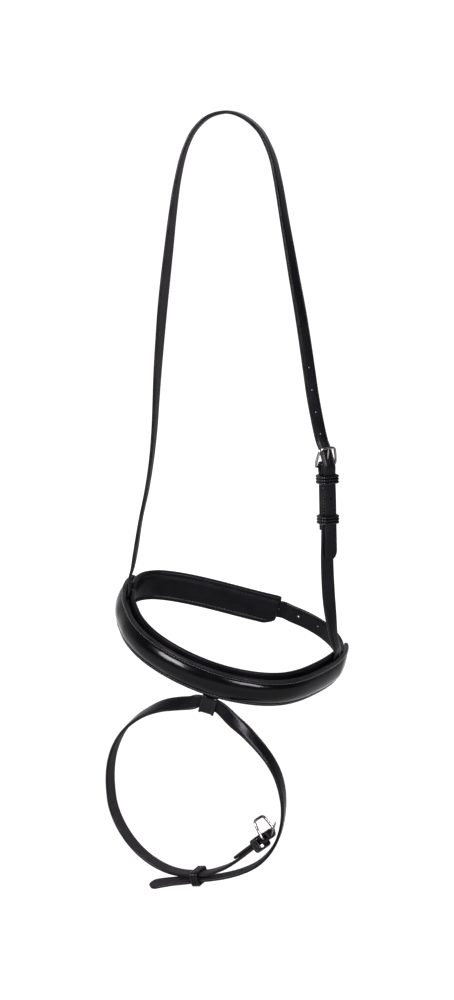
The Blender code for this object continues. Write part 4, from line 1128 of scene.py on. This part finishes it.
# ---- stage, light and camera
def build_stage():
    low = cad_box[0][2]
    bpy.ops.mesh.primitive_plane_add(size=40.0, location=(0.0, 0.0, low - 0.05))
    floor = bpy.context.object
    floor.name = "floor"
    look = Look("pale floor")
    speck = look.cloud(look.place(), 6.0, 3.0)
    look.drive("Base Color", look.blend(speck, (0.29, 0.29, 0.29, 1), (0.31, 0.31, 0.31, 1)))
    away = look.node("VectorMath", [("Vector", look.place())], operation="LENGTH").outputs["Value"]
    look.drive("Emission Strength", look.span(away, 0.40, 0.90, 0.3, 1.2))
    look.set(Roughness=0.9, Specular_IOR_Level=0.1, Emission_Color=(1, 1, 1, 1))
    floor.data.materials.append(look.material)


def build_world():
    """White behind and grey in front, so that black leather keeps its depth."""
    world = bpy.data.worlds.new("studio")
    world.use_nodes = True
    tree = world.node_tree
    ground = tree.nodes["Background"]
    way = tree.nodes.new("ShaderNodeTexCoord")
    dot = tree.nodes.new("ShaderNodeVectorMath")
    dot.operation = "DOT_PRODUCT"
    dot.inputs[1].default_value = Vector((0.10, -0.97, 0.20)).normalized()
    tree.links.new(way.outputs["Generated"], dot.inputs[0])
    ramp = tree.nodes.new("ShaderNodeMapRange")
    ramp.interpolation_type = "SMOOTHSTEP"
    for socket, value in (("From Min", -0.60), ("From Max", 0.40), ("To Min", 1.10), ("To Max", 0.22)):
        ramp.inputs[socket].default_value = value
    tree.links.new(dot.outputs["Value"], ramp.inputs["Value"])
    tree.links.new(ramp.outputs["Result"], ground.inputs["Strength"])
    ground.inputs["Color"].default_value = (0.985, 0.965, 1.0, 1.0)
    bpy.context.scene.world = world


def softbox(name, at, aim, wide, tall, power):
    lamp = bpy.data.lights.new(name, "AREA")
    lamp.shape = "RECTANGLE"
    lamp.size = wide
    lamp.size_y = tall
    lamp.energy = power
    lamp.color = (0.98, 0.95, 1.0)
    made = bpy.data.objects.new(name, lamp)
    made.location = at
    made.rotation_euler = (Vector(aim) - Vector(at)).to_track_quat("-Z", "Y").to_euler()
    bpy.context.scene.collection.objects.link(made)


def build_camera():
    eye = bpy.data.cameras.new("camera")
    eye.lens = 57.6
    eye.sensor_width = 36.0
    made = bpy.data.objects.new("camera", eye)
    made.location = (0.1724, -1.4901, 0.0033)
    made.rotation_euler = (math.radians(90.0 - 13.70), 0.0, math.radians(6.6))
    bpy.context.scene.collection.objects.link(made)
    bpy.context.scene.camera = made


def build():
    build_nosepiece()
    build_backing()
    build_padding()

    build_chin()
    path = build_tongue("chin_buckle_tongue", STACK, CHIN_BAR, 1, CHIN_RISE, CHIN_TONGUE)
    build_billet(path)
    build_buckle("chin_buckle_frame", STACK, CHIN_BAR, 1, CHIN_RISE, 10.0, 27.0, 23.0, 18.0)
    stack = CHIN_RISE + CHIN_SLACK + BILLET_T * 1.5 + GAP * 2
    under = CHIN_RISE - CHIN_SLACK - BILLET_T / 2 - GAP
    build_keeper("chin_fixed_keeper", STACK, CHIN_BAR - 14.0, CHIN_KEEPER_LONG, under, stack + 0.4, 10.1, 1.6)
    build_keeper("chin_runner_keeper", STACK, CHIN_BAR - 47.0, CHIN_KEEPER_LONG, under + 2.4, stack + 0.4,
                 10.1, 1.6)

    build_cheek()
    path = build_tongue("cheek_buckle_tongue", CHEEK, CHEEK_BAR, -1, 0.0, CHEEK_TONGUE)
    build_headpiece(path)
    build_buckle("cheek_buckle_frame", CHEEK, CHEEK_BAR, -1, 0.0, 15.5, 21.6, 17.6, 17.8)
    build_keeper("cheek_fixed_keeper", CHEEK, CHEEK_BAR + 13.0, KEEPER_LONG, -3.5, 7.3, 8.1, shift=-0.6)
    build_keeper("cheek_runner_keeper", CHEEK, CHEEK_BAR + 52.6, KEEPER_LONG, -3.5, 6.9, 8.0, shift=-0.8)

    build_flash()
    build_loop()
    build_tongue("flash_buckle_tongue", FLASH, FLASH_BAR, 1, FLASH_RISE, FLASH_TONGUE)
    build_buckle("flash_buckle_frame", FLASH, FLASH_BAR, 1, FLASH_RISE, -FLASH_FLIP, 21.0, 17.0, 17.8)
    build_keeper("flash_fixed_keeper", FLASH, FLASH_BAR - 14.0, KEEPER_LONG, -5.2, 4.6, 7.0)
    build_keeper("flash_runner_keeper", FLASH, FLASH_RUNNER, KEEPER_LONG, -2.8, 8.0, 8.5)


build_camera()
build_world()
build_stage()
softbox("key left", (-0.92, -1.20, 0.35), (0.0, -0.05, -0.50), 0.60, 0.80, 72.0)
softbox("key right", (0.90, -1.20, 0.30), (0.0, -0.05, -0.50), 0.60, 0.80, 58.0)
softbox("top", (0.0, -0.2, 1.3), (0.0, 0.0, -0.4), 1.2, 1.0, 14.0)
build()
bpy.context.scene.view_settings.view_transform = "Standard"
bpy.context.scene.view_settings.gamma = 0.86
